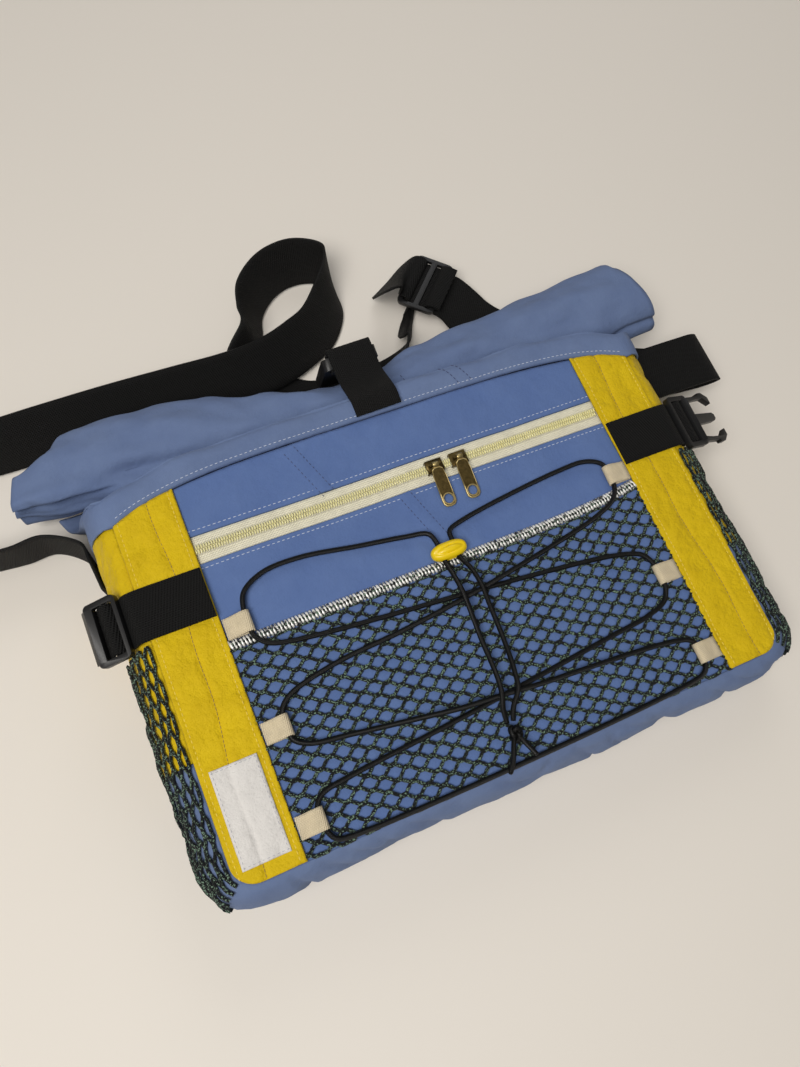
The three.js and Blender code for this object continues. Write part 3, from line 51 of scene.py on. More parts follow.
back = Vector((
    sin(camera_heading) * cos(camera_height),
    -cos(camera_heading) * cos(camera_height),
    sin(camera_height),
))
level_right = Vector((cos(camera_heading), sin(camera_heading), 0.0))
level_up = back.cross(level_right)
right = level_right * cos(camera_roll) + level_up * sin(camera_roll)
up = level_up * cos(camera_roll) - level_right * sin(camera_roll)
camera_lens = 27.03
sensor_width = 36.0


def in_scene(name, data):
    """A new object, linked into the scene."""
    made = bpy.data.objects.new(name, data)
    bpy.context.scene.collection.objects.link(made)
    return made


camera_data = bpy.data.cameras.new("camera")
camera_data.lens = camera_lens
camera_data.sensor_width = sensor_width
camera_data.clip_start = 0.01
camera = in_scene("camera", camera_data)
camera.matrix_world = Matrix((
    (right.x, up.x, back.x, camera_place.x),
    (right.y, up.y, back.y, camera_place.y),
    (right.z, up.z, back.z, camera_place.z),
    (0, 0, 0, 1),
))
bpy.context.scene.camera = camera
bpy.context.scene.view_settings.view_transform = "Standard"


# The room: a soft ceiling light, even light from high windows all round, and pale walls.
# The floor is a plain warm white sheet, a little rough.
def area_light(name, place, target, size, power, colour):
    data = bpy.data.lights.new(name, "AREA")
    data.shape = "DISK"
    data.size = size
    data.energy = power
    data.color = colour
    light = in_scene(name, data)
    light.location = place
    light.rotation_euler = (Vector(place) - Vector(target)).to_track_quat("Z", "Y").to_euler()


area_light("ceiling_light", (-0.6, -0.35, 1.3), (-0.1, -0.05, 0.0), 0.7, 10.8, (1.0, 0.97, 0.93))
skylight = bpy.data.lights.new("skylight", "SUN")
skylight.energy = 0.85
skylight.angle = radians(50)
skylight.color = (1.0, 0.975, 0.94)
in_scene("skylight", skylight).rotation_euler = (radians(14), radians(-18), 0.0)
area_light("window_light", (0.5, 1.1, 1.2), (0.0, 0.0, 0.0), 0.9, 3.0, (0.97, 0.98, 1.0))


def join(tree, start, end):
    tree.links.new(start, end)


def fill(tree, node, **values):
    """Sets a node's inputs by name: a socket is joined, and anything else is the input's own value."""
    for title, value in values.items():
        socket = node.inputs[title.replace("_", " ")]
        if isinstance(value, bpy.types.NodeSocket):
            join(tree, value, socket)
        else:
            socket.default_value = value
    return node


def add(tree, kind, **values):
    return fill(tree, tree.nodes.new(kind), **values)


room = bpy.data.worlds.new("room")
bpy.context.scene.world = room
room.use_nodes = True
walls = room.node_tree
lit_walls = fill(walls, walls.nodes["Background"], Color=(0.9, 0.86, 0.81, 1.0), Strength=0.17)
seen_walls = add(walls, "ShaderNodeBackground", Color=(0.78, 0.75, 0.71, 1.0))
wall_mix = walls.nodes.new("ShaderNodeMixShader")
join(walls, add(walls, "ShaderNodeLightPath").outputs["Is Camera Ray"], wall_mix.inputs[0])
join(walls, lit_walls.outputs[0], wall_mix.inputs[1])
join(walls, seen_walls.outputs[0], wall_mix.inputs[2])
join(walls, wall_mix.outputs[0], walls.nodes["World Output"].inputs["Surface"])


def linear(red, green, blue):
    """A screen colour from 0 to 255 as the shader's linear colour."""
    def one(value):
        share = value / 255
        return share / 12.92 if share <= 0.04045 else ((share + 0.055) / 1.055) ** 2.4
    return (one(red), one(green), one(blue), 1.0)


def painted(made, **values):
    """A material with these inputs of its shader set or joined."""
    fill(made.node_tree, made.node_tree.nodes["Principled BSDF"], **values)
    return made


def material(name, colour, roughness, metallic=0.0, sheen=0.0, specular=0.5, coat=0.0):
    made = bpy.data.materials.new(name)
    made.use_nodes = True
    return painted(
        made, Base_Color=colour, Roughness=roughness, Metallic=metallic, Sheen_Weight=sheen,
        Sheen_Roughness=0.5, Specular_IOR_Level=specular, Coat_Weight=coat,
    )


floor_half = 4
floor_level = -0.0006
floor_mesh = bpy.data.meshes.new("floor")
floor_ways = ((-1, -1), (1, -1), (1, 1), (-1, 1))
floor_corners = [(x * floor_half, y * floor_half, floor_level) for x, y in floor_ways]
floor_mesh.from_pydata(floor_corners, [], [(0, 1, 2, 3)])
floor_mesh.materials.append(material("floor_paint", linear(231, 225, 216), 0.6, specular=0.25))
in_scene("floor", floor_mesh)


# The front: two blue cloth panels of one plain weave, with the zip's slot between them.
# They are cut from canvas and sewn over the bag's whole width, and the strips cover their side edges.
half_open = 135.0
half_body = 174.0
half_height = 111.0
corner = 14.0
clear = 0.3
cloth_thick = 1.4
mm = 0.001
front_depth = 72.0
front_fall = 0.044
front_rise = 0.075


def ripple(x, y, z):
    return noise.noise(Vector((x, y, z)))


def held(share):
    return min(1.0, max(0.0, share))


def front_z(x, y):
    return front_depth - front_fall * x + front_rise * y


def swell(x, y):
    """How far the soft front stands off its plane: long, shallow waves that fade out at the zip's pulls."""
    wave = 1.5 * ripple(x / 75, y / 55, 3.1) + 0.5 * ripple(x / 28, y / 24, 7.7)
    near_pulls = min(1.0, hypot((x - 26) / 45, (y - 62) / 32)) ** 2
    near_edge = held((half_body - abs(x)) / 25) * held((y + half_height) / 22)
    return wave * near_pulls * near_edge


def front(x, y, lift=0.0):
    return Vector((x, y, front_z(x, y) + swell(x, y) + lift))


def seam_y(x):
    return half_height + 5.0 - 16.0 * abs(x / half_body) ** 5


def side_limit(y):
    """How far the front reaches sideways at a height, with its round bottom corners."""
    drop = max(0.0, -half_height + corner - y)
    return half_body - corner + sqrt(max(0.0, corner * corner - drop * drop))


def mesh_piece(name, points, faces, finish, corners=()):
    """A smooth mesh from points in millimetres. Places for its faces' corners make its measured UV map."""
    mesh = bpy.data.meshes.new(name)
    mesh.from_pydata([point * mm for point in points], [], faces)
    if corners:
        chart = mesh.uv_layers.new(name="cut")
        for loop, (u, v) in zip(chart.data, corners):
            loop.uv = (u * mm, v * mm)
    mesh.materials.append(finish)
    mesh.shade_smooth()
    return in_scene(name, mesh)


def grid_piece(name, rows, finish, thickness=0.0, closed=False, outward=True):
    """A mesh from rows of points in millimetres, with its own measured UV map, and a wall made inwards."""
    count = len(rows[0])
    along = [0.0]
    for above, below in zip(rows, rows[1:]):
        along.append(along[-1] + sum((b - a).length for a, b in zip(above, below)) / count)
    across = []
    for row in rows:
        line = [0.0]
        for k in range(count):
            line.append(line[-1] + (row[(k + 1) % count] - row[k]).length)
        across.append(line)
    faces = []
    corners = []
    for i in range(len(rows) - 1):
        for j in range(count if closed else count - 1):
            k = (j + 1) % count
            quad = [i * count + j, i * count + k, (i + 1) * count + k, (i + 1) * count + j]
            marks = [(across[i + m][j + n], along[i + m]) for m, n in ((0, 0), (0, 1), (1, 1), (1, 0))]
            if not outward:
                quad.reverse()
                marks.reverse()
            faces.append(quad)
            corners.extend(marks)
    piece = mesh_piece(name, [point for row in rows for point in row], faces, finish, corners)
    if thickness:
        wall = piece.modifiers.new("wall", "SOLIDIFY")
        wall.thickness = thickness * mm
        wall.offset = -1.0
        wall.use_even_offset = False
    return piece


def dress(piece, *nodes, slot=None, body="bag"):
    """Puts a finished piece on its body, in place of its plain solids."""
    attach(piece, body)
    if nodes:
        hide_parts(*nodes)
    return piece


def spread(low, high, steps):
    return [low + (high - low) * i / steps for i in range(steps + 1)]


# Shader groups are shared by the cloths: threads that cross, and slow changes of shade.
def shader_group(name, inputs, outputs):
    group = bpy.data.node_groups.new(name, "ShaderNodeTree")
    for title, kind, value in inputs:
        group.interface.new_socket(title, in_out="INPUT", socket_type=kind).default_value = value
    for title, kind in outputs:
        group.interface.new_socket(title, in_out="OUTPUT", socket_type=kind)
    return group, group.nodes.new("NodeGroupInput").outputs, group.nodes.new("NodeGroupOutput")


def add_group(tree, group, **values):
    made = tree.nodes.new("ShaderNodeGroup")
    made.node_tree = group
    return fill(tree, made, **values)


def arithmetic(tree, operation, first, second=0.0):
    node = tree.nodes.new("ShaderNodeMath")
    node.operation = operation
    for socket, value in zip(node.inputs, (first, second)):
        if isinstance(value, (int, float)):
            socket.default_value = value
        else:
            join(tree, value, socket)
    return node.outputs[0]


def mix(tree, factor, first, second):
    """The first colour where the factor is 0, and the second where it is 1."""
    node = tree.nodes.new("ShaderNodeMix")
    node.data_type = "RGBA"
    return fill(tree, node, Factor=factor, A=first, B=second).outputs["Result"]


def bump(tree, height, strength, distance):
    return add(tree, "ShaderNodeBump", Strength=strength, Distance=distance, Height=height)


def cut_chart(group):
    """The piece's measured UV map, and its two parts."""
    chart = group.nodes.new("ShaderNodeUVMap")
    chart.uv_map = "cut"
    split = add(group, "ShaderNodeSeparateXYZ", Vector=chart.outputs["UV"])
    return chart.outputs["UV"], split.outputs["X"], split.outputs["Y"]


def object_place(tree):
    return add(tree, "ShaderNodeTexCoord").outputs["Object"]


def darker(colour, share):
    return tuple(part * share for part in colour[:3]) + (1.0,)


weave, weave_in, weave_out = shader_group(
    "plain weave",
    [("Thread", "NodeSocketFloat", 0.0006), ("Slub", "NodeSocketFloat", 0.3)],
    [("Height", "NodeSocketFloat"), ("Mask", "NodeSocketFloat")],
)
chart, chart_x, chart_y = cut_chart(weave)
turns = arithmetic(weave, "DIVIDE", pi, weave_in["Thread"])
warp = arithmetic(weave, "SINE", arithmetic(weave, "MULTIPLY", chart_x, turns))
weft = arithmetic(weave, "SINE", arithmetic(weave, "MULTIPLY", chart_y, turns))
crossing = arithmetic(weave, "ABSOLUTE", arithmetic(weave, "MULTIPLY", warp, weft))
slub = add(weave, "ShaderNodeTexNoise", Vector=chart, Scale=900.0, Detail=3.0)
rough_thread = arithmetic(weave, "MULTIPLY", slub.outputs["Fac"], weave_in["Slub"])
fill(weave, weave_out, Height=arithmetic(weave, "ADD", crossing, rough_thread), Mask=crossing)

shade, shade_in, shade_out = shader_group(
    "cloth shade",
    [
        ("Colour", "NodeSocketColor", (0.5, 0.5, 0.5, 1.0)),
        ("Worn", "NodeSocketColor", (0.6, 0.6, 0.6, 1.0)),
        ("Amount", "NodeSocketFloat", 0.4),
        ("Size", "NodeSocketFloat", 40.0),
    ],
    [("Colour", "NodeSocketColor"), ("Height", "NodeSocketFloat")],
)
cloud = add(
    shade, "ShaderNodeTexNoise",
    Vector=object_place(shade), Scale=shade_in["Size"], Detail=6.0, Roughness=0.62,
)
ramp = add(shade, "ShaderNodeMapRange", Value=cloud.outputs["Fac"], From_Min=0.35, From_Max=0.7)
worn_share = arithmetic(shade, "MULTIPLY", ramp.outputs[0], shade_in["Amount"])
shaded = mix(shade, worn_share, shade_in["Colour"], shade_in["Worn"])
fill(shade, shade_out, Colour=shaded, Height=cloud.outputs["Fac"])


def toned(made, colour, worn, size):
    """A plain material with slow changes of shade."""
    tone = add_group(made.node_tree, shade, Colour=colour, Worn=worn, Size=size)
    return painted(made, Base_Color=tone.outputs["Colour"])


def cloth_material(
    name, colour, worn, thread=0.0007, amount=0.5, size=45.0, crease=0.35, sheen=0.04, roughness=0.85,
):
    """Woven cloth: crossed threads, slubs, soft changes of shade and small creases."""
    made = material(name, colour, roughness, sheen=sheen, specular=0.15)
    tree = made.node_tree
    threads = add_group(tree, weave, Thread=thread)
    tone = add_group(tree, shade, Colour=colour, Worn=worn, Amount=amount, Size=size)
    between = arithmetic(tree, "MULTIPLY", threads.outputs["Mask"], 0.35)
    creases = bump(tree, tone.outputs["Height"], crease, 0.006)
    relief = bump(tree, threads.outputs["Height"], 0.35, 0.0002)
    fill(tree, relief, Normal=creases.outputs["Normal"])
    return painted(
        made, Base_Color=mix(tree, between, tone.outputs["Colour"], darker(colour, 0.72)),
        Normal=relief.outputs["Normal"],
    )


blue_cloth = cloth_material("blue_cloth", linear(90, 114, 165), linear(102, 126, 175), amount=0.6)
zip_low = 62.75
zip_high = 79.25


def edge_roll(distance, radius=1.3):
    """A folded edge turns down over its last millimetre."""
    if distance >= radius:
        return 0.0
    return -(radius - sqrt(max(0.0, radius * radius - (radius - distance) ** 2)))


def felled(x, y, seams):
    """Height of the flat double seams that join offcuts in a panel."""
    rise = 0.0
    for (x0, y0), (x1, y1) in seams:
        ax, ay = x1 - x0, y1 - y0
        length = hypot(ax, ay)
        along = ((x - x0) * ax + (y - y0) * ay) / length
        across = ((x - x0) * -ay + (y - y0) * ax) / length
        if -2 < along < length + 2 and 0 < across < 10.5:
            edge = min(across, 10.5 - across)
            rise = max(rise, 0.55 * min(1.0, edge / 0.8))
    return rise


lower_seams = [((10.5, 26.5), (-1.0, 61.5))]
upper_seams = [((-44.5, 80.0), (-57.5, 114.0))]


def lower_point(s, y):
    x = s * side_limit(y)
    lip = edge_roll(zip_low - clear - y)
    return front(x, y, lip + felled(x, y, lower_seams))


def upper_point(s, t):
    x = s * half_body
    low = zip_high + clear
    high = seam_y(x) - clear
    y = low + (high - low) * t
    return front(x, y, edge_roll(y - low) + felled(x, y, upper_seams))


lower_rows = [
    [lower_point(s, y) for s in spread(-1, 1, 130)]
    for y in spread(-half_height, 60.5, 62) + spread(60.9, zip_low - clear, 6)
]
front_lower = grid_piece("front_lower_cloth", lower_rows, blue_cloth, thickness=cloth_thick)
dress(front_lower, "front_lower_panel", slot="blue cloth")
upper_rows = [
    [upper_point(s, t) for s in spread(-1, 1, 130)]
    for t in [0.0, 0.01, 0.02, 0.035] + spread(0.06, 1.0, 20)
]
front_upper = grid_piece("front_upper_cloth", upper_rows, blue_cloth, thickness=cloth_thick)
dress(front_upper, "front_upper_panel", slot="blue cloth")


# The side strips: coated yellow cloth laid over the panels' side edges. Each is two lengths of an old
# cover joined by a wavy hand-guided line, with its long edges turned in and topstitched.
strip_lift = 2.3
both_sides = ((-1, "left"), (1, "right"))
yellow_cloth = cloth_material(
    "yellow_cloth", linear(222, 190, 18), linear(196, 162, 8), thread=0.0006, amount=0.5, size=60.0,
    crease=0.8, sheen=0.05, roughness=0.6,
)
strip_width = 39.0
tab_y = 44.5


def bell(distance):
    return exp(-distance ** 2)


def middle_line(y):
    """Where the wavy seam along a strip runs, as a share of its width."""
    return 0.5 - 0.09 * sin((y + 20) / 58) + 0.025 * sin(y / 12)


def strip_lay(x, y):
    """Puckers along the strip's stitched lines and slack between them."""
    across = (abs(x) - half_open) / strip_width
    pucker = 0.6 * ripple(x / 9, y / 8, 4.0) + 1.1 * ripple(x / 17, y / 24, 9.0)
    ridge = -1.0 * bell((across - middle_line(y)) / 0.035)
    hem = -0.5 * bell((across - 0.09) / 0.03) - 0.5 * bell((across - 0.92) / 0.03)
    under_tab = held((abs(y - tab_y) - 13) / 10)
    return (pucker + ridge + hem + 0.3) * under_tab


def strip_top(x, y, lift=0.0):
    """A place on a side strip's upper face."""
    reach = abs(x)
    edge = min(reach - half_open - clear, half_body - reach)
    height = strip_lift + edge_roll(edge, 1.2) + strip_lay(reach, y) * held(edge / 3)
    return front(x, y, height + lift)


def strip_point(side, s, t):
    """s runs from the strip's inner edge to its outer edge, t from its low end to the mouth's seam."""
    inner = half_open + clear
    reach = inner + (half_body - inner) * s
    high = seam_y(reach) - clear
    low = -half_height
    if reach > half_body - corner:
        low = -half_height + corner - sqrt(max(0.0, corner ** 2 - (reach - half_body + corner) ** 2))
    return strip_top(side * reach, low + (high - low) * t)


for side, name in both_sides:
    shares = [0.0, 0.008, 0.02, 0.04] + spread(0.06, 0.94, 26) + [0.96, 0.98, 0.992, 1.0]
    rows = [[strip_point(side, s, t) for s in shares] for t in spread(0, 1, 110)]
    strip = grid_piece(f"{name}_strip_cloth", rows, yellow_cloth, thickness=1.9, outward=side > 0)
    dress(strip, f"{name}_strip", slot="yellow cloth")


# The walls: yellow gussets beside the mouth, and one pale blue length that runs down a side, along the
# bottom and up the other side. The cloth is slack, so it dents and folds where the bag's filling stops.
side_bulge = 21.0
bottom_bulge = 12.0
back_top = 112.0
wrap_top = -41.0
back_level = 1.8


def wall_point(x, y, nx, ny, angle, lift=0.0):
    share = (1 - cos(angle)) / 2
    bulge = (side_bulge * nx * nx + bottom_bulge * ny * ny) * sin(angle)
    dent = 2.4 * ripple(x / 34, y / 34, share * 2.2 + 5)
    dent += 1.0 * ripple(x / 13, y / 13, share * 6 + 2)
    slanted = ripple((x - 46 * share) / 26, (y + 30 * share) / 26, share * 1.1 + 8)
    dent -= 3.4 * max(0.0, 1 - abs(slanted) * 5)
    reach = bulge + (lift + dent * 0.8) * sin(angle)
    z = (front_z(x, y) - back_level) * (1 - share) + back_level * share
    return Vector((x + nx * reach, y + ny * reach, z + lift * cos(angle)))


def wrap_place(distance):
    """A place and its outward direction on the front's edge, from the left side round to the right."""
    leg = (wrap_top - clear) - (-half_height + corner)
    arc = pi / 2 * corner
    length = 2 * leg + 2 * arc + 2 * (half_body - corner)
    mirrored = distance > 0.5
    d = (1 - distance if mirrored else distance) * length
    side = 1 if mirrored else -1
    if d <= leg:
        return side * half_body, wrap_top - clear - d, side, 0.0
    if d <= leg + arc:
        angle = (d - leg) / corner
        nx, ny = side * cos(angle), -sin(angle)
        return side * (half_body - corner) + corner * nx, -half_height + corner + corner * ny, nx, ny
    return side * (half_body - corner) - side * (d - leg - arc), -half_height, 0.0, -1.0


pale_cloth = cloth_material(
    "pale_blue_cloth", linear(102, 120, 158), linear(116, 134, 170), amount=0.6, size=38.0,
)
wrap_stations = spread(0, 0.155, 22) + spread(0.16, 0.235, 18) + spread(0.24, 0.76, 90)
wrap_stations += spread(0.765, 0.84, 18) + spread(0.845, 1, 22)
rows = [
    [wall_point(*wrap_place(d), angle) for angle in spread(0, pi, 34)]
    for d in wrap_stations
]
bottom = grid_piece("bottom_cloth", rows, pale_cloth, thickness=cloth_thick)
dress(bottom, "bottom_panel", slot="pale blue cloth")
for side, name in both_sides:
    rows = []
    for t in [-0.045, -0.02] + spread(0, 1, 60):
        row = []
        for angle in spread(0, pi, 34):
            share = (1 - cos(angle)) / 2
            top = (seam_y(half_body) - 0.6) * (1 - share) + (back_top - 0.6) * share
            row.append(wall_point(side * half_body, top + (wrap_top - top) * t, side, 0.0, angle))
        rows.append(row)
    gusset = grid_piece(f"{name}_gusset_cloth", rows, yellow_cloth, thickness=cloth_thick, outward=side < 0)
    dress(gusset, f"{name}_gusset", slot="yellow cloth")

# The back lies on the floor, with rounded bottom corners like the front's.
back_rows = []
for y in spread(-half_height, back_top, 60):
    back_rows.append([Vector((s * side_limit(y), y, 0.0)) for s in spread(-1, 1, 80)])
back_cloth = grid_piece("back_cloth", back_rows, blue_cloth, thickness=cloth_thick, outward=False)
dress(back_cloth, "back_panel", slot="blue cloth")


# The roll: the bag's mouth, stiff canvas rolled forward on itself with a turn and two thirds of cloth.
# Its middle is pulled in by the closure strap, and its left end is let go at a slant.
roll_half = 232.0
roll_radius = 26.0
roll_span = 1.96
roll_turns = 1.65
roll_start = radians(-108)
turn_shrink = 6.0
cloth_inset = 0.6
roll_rows = [
    # place, out, height, deep, thick, slant
    (-1.0, 2.2, 1.08, 0.93, 0.85, -0.55),
    (-0.88, 2.3, 1.2, 1.31, 0.98, -0.4),
    (-0.69, 2.27, 1.27, 1.35, 1.0, 0.0),
    (-0.57, 2.19, 1.31, 1.31, 1.0, 0.0),
    (-0.43, 2.01, 1.35, 1.19, 0.96, 0.0),
    (-0.28, 1.72, 1.42, 1.04, 0.92, 0.0),
    (-0.06, 1.36, 1.54, 0.85, 0.85, 0.0),
    (0.08, 1.36, 1.54, 0.85, 0.85, 0.0),
    (0.22, 1.65, 1.5, 0.92, 0.88, 0.0),
    (0.42, 1.77, 1.42, 1.08, 0.96, 0.0),
    (0.62, 1.8, 1.38, 1.19, 1.0, 0.0),
    (0.78, 1.82, 1.38, 1.27, 1.04, 0.0),
    (0.91, 1.91, 1.38, 1.31, 1.04, 0.0),
    (0.96, 1.84, 1.37, 1.24, 1.0, 0.28),
]


def smooth_step(share):
    share = held(share)
    return share * share * (3 - 2 * share)


def roll_at(x):
    at = x / roll_half
    i = 0
    while i < len(roll_rows) - 2 and at > roll_rows[i + 1][0]:
        i += 1
    low, high = roll_rows[i], roll_rows[i + 1]
    share = smooth_step((at - low[0]) / (high[0] - low[0]))
    out, *sizes = ((a + (b - a) * share) * roll_radius for a, b in zip(low[1:], high[1:]))
    return half_height + out, *sizes


def roll_fold(x, angle):
    """Folds in the roll: long slanted ones that gather at the closure strap, and small creases."""
    gather = bell(x / 120)
    fan = sin(angle * 3 + x / 34) * 0.9 + sin(angle * 5 - x / 21 + 1.3) * 0.6
    twist = 3.0 * ripple(x / 62, cos(angle) * 1.5 + x / 80, sin(angle) * 1.5 + 1.7)
    creases = 1.4 * ripple(x / 19, cos(angle) * 2.6, sin(angle) * 2.6 - 4)
    under_strap = held((abs(x) - 14) / 9)
    return (fan * gather + twist + creases) * under_strap


def end_fold(x, angle):
    """The roll's ends: on the left the outer layer is tucked under itself and the one below lies deeper."""
    round_at = degrees(angle) % 360
    let_go = smooth_step((-x - 158) / 34)
    below = smooth_step((round_at - 129 - (x + 232) * 0.12) / 5) * (1 - smooth_step((round_at - 205) / 30))
    lip = 2.4 * bell((round_at - 116 - (x + 232) * 0.12) / 10)
    valley = smooth_step((-x - 88) / 45) * bell((round_at - 128 - (x + 150) * 0.1) / 13)
    pinch = bell((x + 214 - (round_at - 140) * 0.5) / 3.5) * bell((round_at - 128) / 14)
    left = let_go * (lip - 8.0 * below) - 6.5 * valley * (1 - let_go) - 1.8 * pinch
    right = smooth_step((x - 168) / 40) * -3.6 * bell((round_at - 166 + (x - 200) * 0.3) / 8)
    return left + right


def end_ease(share):
    """Folds fade towards the roll's two ends."""
    return min(1.0, (1 - abs(2 * share - 1)) * 9 + 0.35)


rows = []
for share in spread(0, 1, 150):
    x = roll_half * (-1.0 + roll_span * share)
    y0, z0, deep, thick, slant = roll_at(x)
    row = []
    for v in spread(0, 1, 190):
        turn = v * roll_turns
        angle = roll_start + turn * tau
        fold = roll_fold(x, angle) * (1.0 if turn < 1.0 else 0.5) * end_ease(share) - cloth_inset
        if turn < 1.0:
            fold += end_fold(x, angle)
        y = y0 + (deep - turn * turn_shrink + fold) * cos(angle)
        z = z0 + (thick - turn * turn_shrink + fold) * sin(angle)
        step_back = 15.0 * (1 - smooth_step((turn - 0.455) / 0.025)) * max(0.0, 1 - share * 9)
        row.append(Vector((x - slant * (0.4 if x < 0 else 1.0) * cos(angle) + step_back, y, z)))
    rows.append(row)
roll = grid_piece("roll_cloth", rows, pale_cloth, thickness=2.2)
dress(roll, "roll", slot="pale blue cloth")


# The mouth band: pale blue cloth sewn round the body's rim with a raised seam. It stands up, folds
# forward into a valley and runs under the roll, and the back of the mouth lies below it.
band_height = 14.0
band_rows = [
    # rise, height, round, reach, turn, seat, level, lifted
    (0.0, 1.0, 1.0, 0.0, 0, 0.0, 0.0, 0.0),
    (0.55, 1.02, 1.0, 0.0, 0, 0.0, 0.0, 0.1),
    (1.0, 1.0, 0.95, 0.02, 0, 0.0, 0.05, 0.75),
    (1.12, 0.93, 0.9, 0.1, 0, 0.0, 0.1, 1.0),
    (0, 0, 0.7, 0.4, 176, 2.4, 0.3, 1.0),
    (0, 0, 0.4, 0.7, 215, 1.6, 0.6, 1.0),
    (0, 0, 0.12, 0.95, 245, 0.5, 1.0, 1.0),
]
slot_gap = 4.2
cloth_wall = 1.5
seam_points = 64
band_lean = Vector((0, 0.25, 1.0))


def band_front(x0, row):
    rise, height, _, reach, turn, seat, _, _ = row
    x = x0 * (1 + (roll_half * 0.94 / half_body - 1) * reach)
    if turn == 0:
        y = seam_y(x0) + rise * band_height * (1 + 0.2 * abs(x0 / half_body) ** 4)
        return Vector((x, y, (front_z(x0, y) + strip_lift) * height))
    y0, z0, deep, thick, _ = roll_at(x)
    angle = radians(turn)
    z = max(z0 + (thick + seat) * sin(angle), slot_gap)
    return Vector((x, y0 + (deep + seat) * cos(angle), z))


def band_back(x0, index):
    row = band_rows[index]
    above = band_front(x0, row)
    _, z0, _, thick, _ = roll_at(above.x)
    under = max(z0 - thick - slot_gap - cloth_wall, 0)
    share = index / (len(band_rows) - 1)
    end = band_front(x0, band_rows[-1]).y
    y = (back_top + 0.6) * (1 - share) + end * share
    room = 6.0 * smooth_step((x0 / half_body - 0.3) / 0.45) * row[7]
    return Vector((above.x, y, min(max(under * row[6], room), above.z - slot_gap)))


def band_loop(index):
    row = band_rows[index]
    loop = [band_front(x, row) for x in spread(-half_body, half_body, seam_points)]
    ends = {}
    for side in (1, -1):
        high = band_front(side * half_body, row)
        low = band_back(side * half_body, index)
        points = []
        for i in range(1, 12):
            angle = i / 12 * pi
            point = high.lerp(low, (1 - cos(angle)) / 2)
            point.x += side * side_bulge * row[2] * sin(angle)
            points.append(point)
        ends[side] = points
    loop += ends[1]
    loop += [band_back(x, index) for x in spread(half_body, -half_body, 40)]
    loop += list(reversed(ends[-1]))
    return loop


def curve_through(points, share):
    """A smooth curve through points, read at a share of its length in points."""
    last = len(points) - 1
    place = share * last
    i = min(int(place), last - 1)
    t = place - i
    p0 = points[i - 1] if i > 0 else points[0] * 2 - points[1]
    p1, p2 = points[i], points[i + 1]
    p3 = points[i + 2] if i + 2 <= last else points[last] * 2 - points[last - 1]
    bend = 2 * p0 - 5 * p1 + 4 * p2 - p3
    twist = 3 * p1 - p0 - 3 * p2 + p3
    return 0.5 * ((2 * p1) + (p2 - p0) * t + bend * t * t + twist * t ** 3)


def band_fold(x, share):
    """Tucks that rise from the seam, deepest towards the closure strap and the corners."""
    tuck = 2.2 * ripple(x / 26 + share * 1.4, share * 2.0, 2.0)
    tuck += 0.8 * ripple(x / 11 - share * 2.0, share * 3.0, 8.0)
    tuck *= held((abs(x) - 14) / 9)
    return tuck * smooth_step(share * 5) * (1 - 0.6 * smooth_step((share - 0.6) / 0.4))


def band_relief(x, share):
    """Tucks, and the seam's rolled lip along the band's first millimetres."""
    return band_lean * (band_fold(x, share) + edge_roll(share * 84, 1.6))


loops = [band_loop(i) for i in range(len(band_rows))]
rows = []
for share in [0.0, 0.012, 0.03, 0.05] + spread(0.07, 1.0, 60):
    row = []
    for k in range(len(loops[0])):
        point = curve_through([loop[k] for loop in loops], share)
        row.append(point + band_relief(point.x, share) if k <= seam_points else point)
    rows.append(row)
band = grid_piece("mouth_cloth", rows, pale_cloth, thickness=cloth_thick, closed=True)
dress(band, "mouth_band", slot="pale blue cloth")


# The zip: a cream woven tape behind the slot, sewn to both panels. Its nylon coil is two rows of loops
# that mesh along the middle, and it ends under the side strips.
ribs, ribs_in, ribs_out = shader_group(
    "ribbed weave",
    [
        ("Rib", "NodeSocketFloat", 0.0016), ("Column", "NodeSocketFloat", 0.0014),
        ("Slant", "NodeSocketFloat", 0.0),
    ],
    [("Height", "NodeSocketFloat"), ("Mask", "NodeSocketFloat")],
)
_, chart_x, chart_y = cut_chart(ribs)
along_ribs = arithmetic(ribs, "ADD", chart_y, arithmetic(ribs, "MULTIPLY", chart_x, ribs_in["Slant"]))
row_turns = arithmetic(ribs, "DIVIDE", tau, ribs_in["Rib"])
column_turns = arithmetic(ribs, "DIVIDE", tau, ribs_in["Column"])
row_wave = arithmetic(ribs, "SINE", arithmetic(ribs, "MULTIPLY", along_ribs, row_turns))
column_wave = arithmetic(ribs, "SINE", arithmetic(ribs, "MULTIPLY", chart_x, column_turns))
crossed = arithmetic(ribs, "MULTIPLY", row_wave, column_wave)
picked = arithmetic(ribs, "POWER", arithmetic(ribs, "MAXIMUM", crossed, 0.0), 2.0)
fill(ribs, ribs_out, Height=arithmetic(ribs, "ADD", row_wave, crossed), Mask=picked)


def tape_material(
    name, colour, thread, rib, column, slant=0.0, roughness=0.8, depth=0.00025, mixing=0.6, sheen=0.2,
):
    """Narrow woven goods: ribs across the tape, threads along it and slow changes of shade. The thread
    colour goes on the rib tops; on the black webbing it is lighter, a painted highlight.
    """
    made = material(name, colour, roughness, sheen=sheen, specular=0.3)
    tree = made.node_tree
    rows = add_group(tree, ribs, Rib=rib, Column=column, Slant=slant)
    tone = add_group(tree, shade, Colour=colour, Worn=darker(colour, 0.7), Amount=0.5, Size=160.0)
    shown = arithmetic(tree, "MULTIPLY", rows.outputs["Mask"], mixing)
    return painted(
        made, Base_Color=mix(tree, shown, tone.outputs["Colour"], thread),
        Normal=bump(tree, rows.outputs["Height"], 0.8, depth).outputs["Normal"],
    )


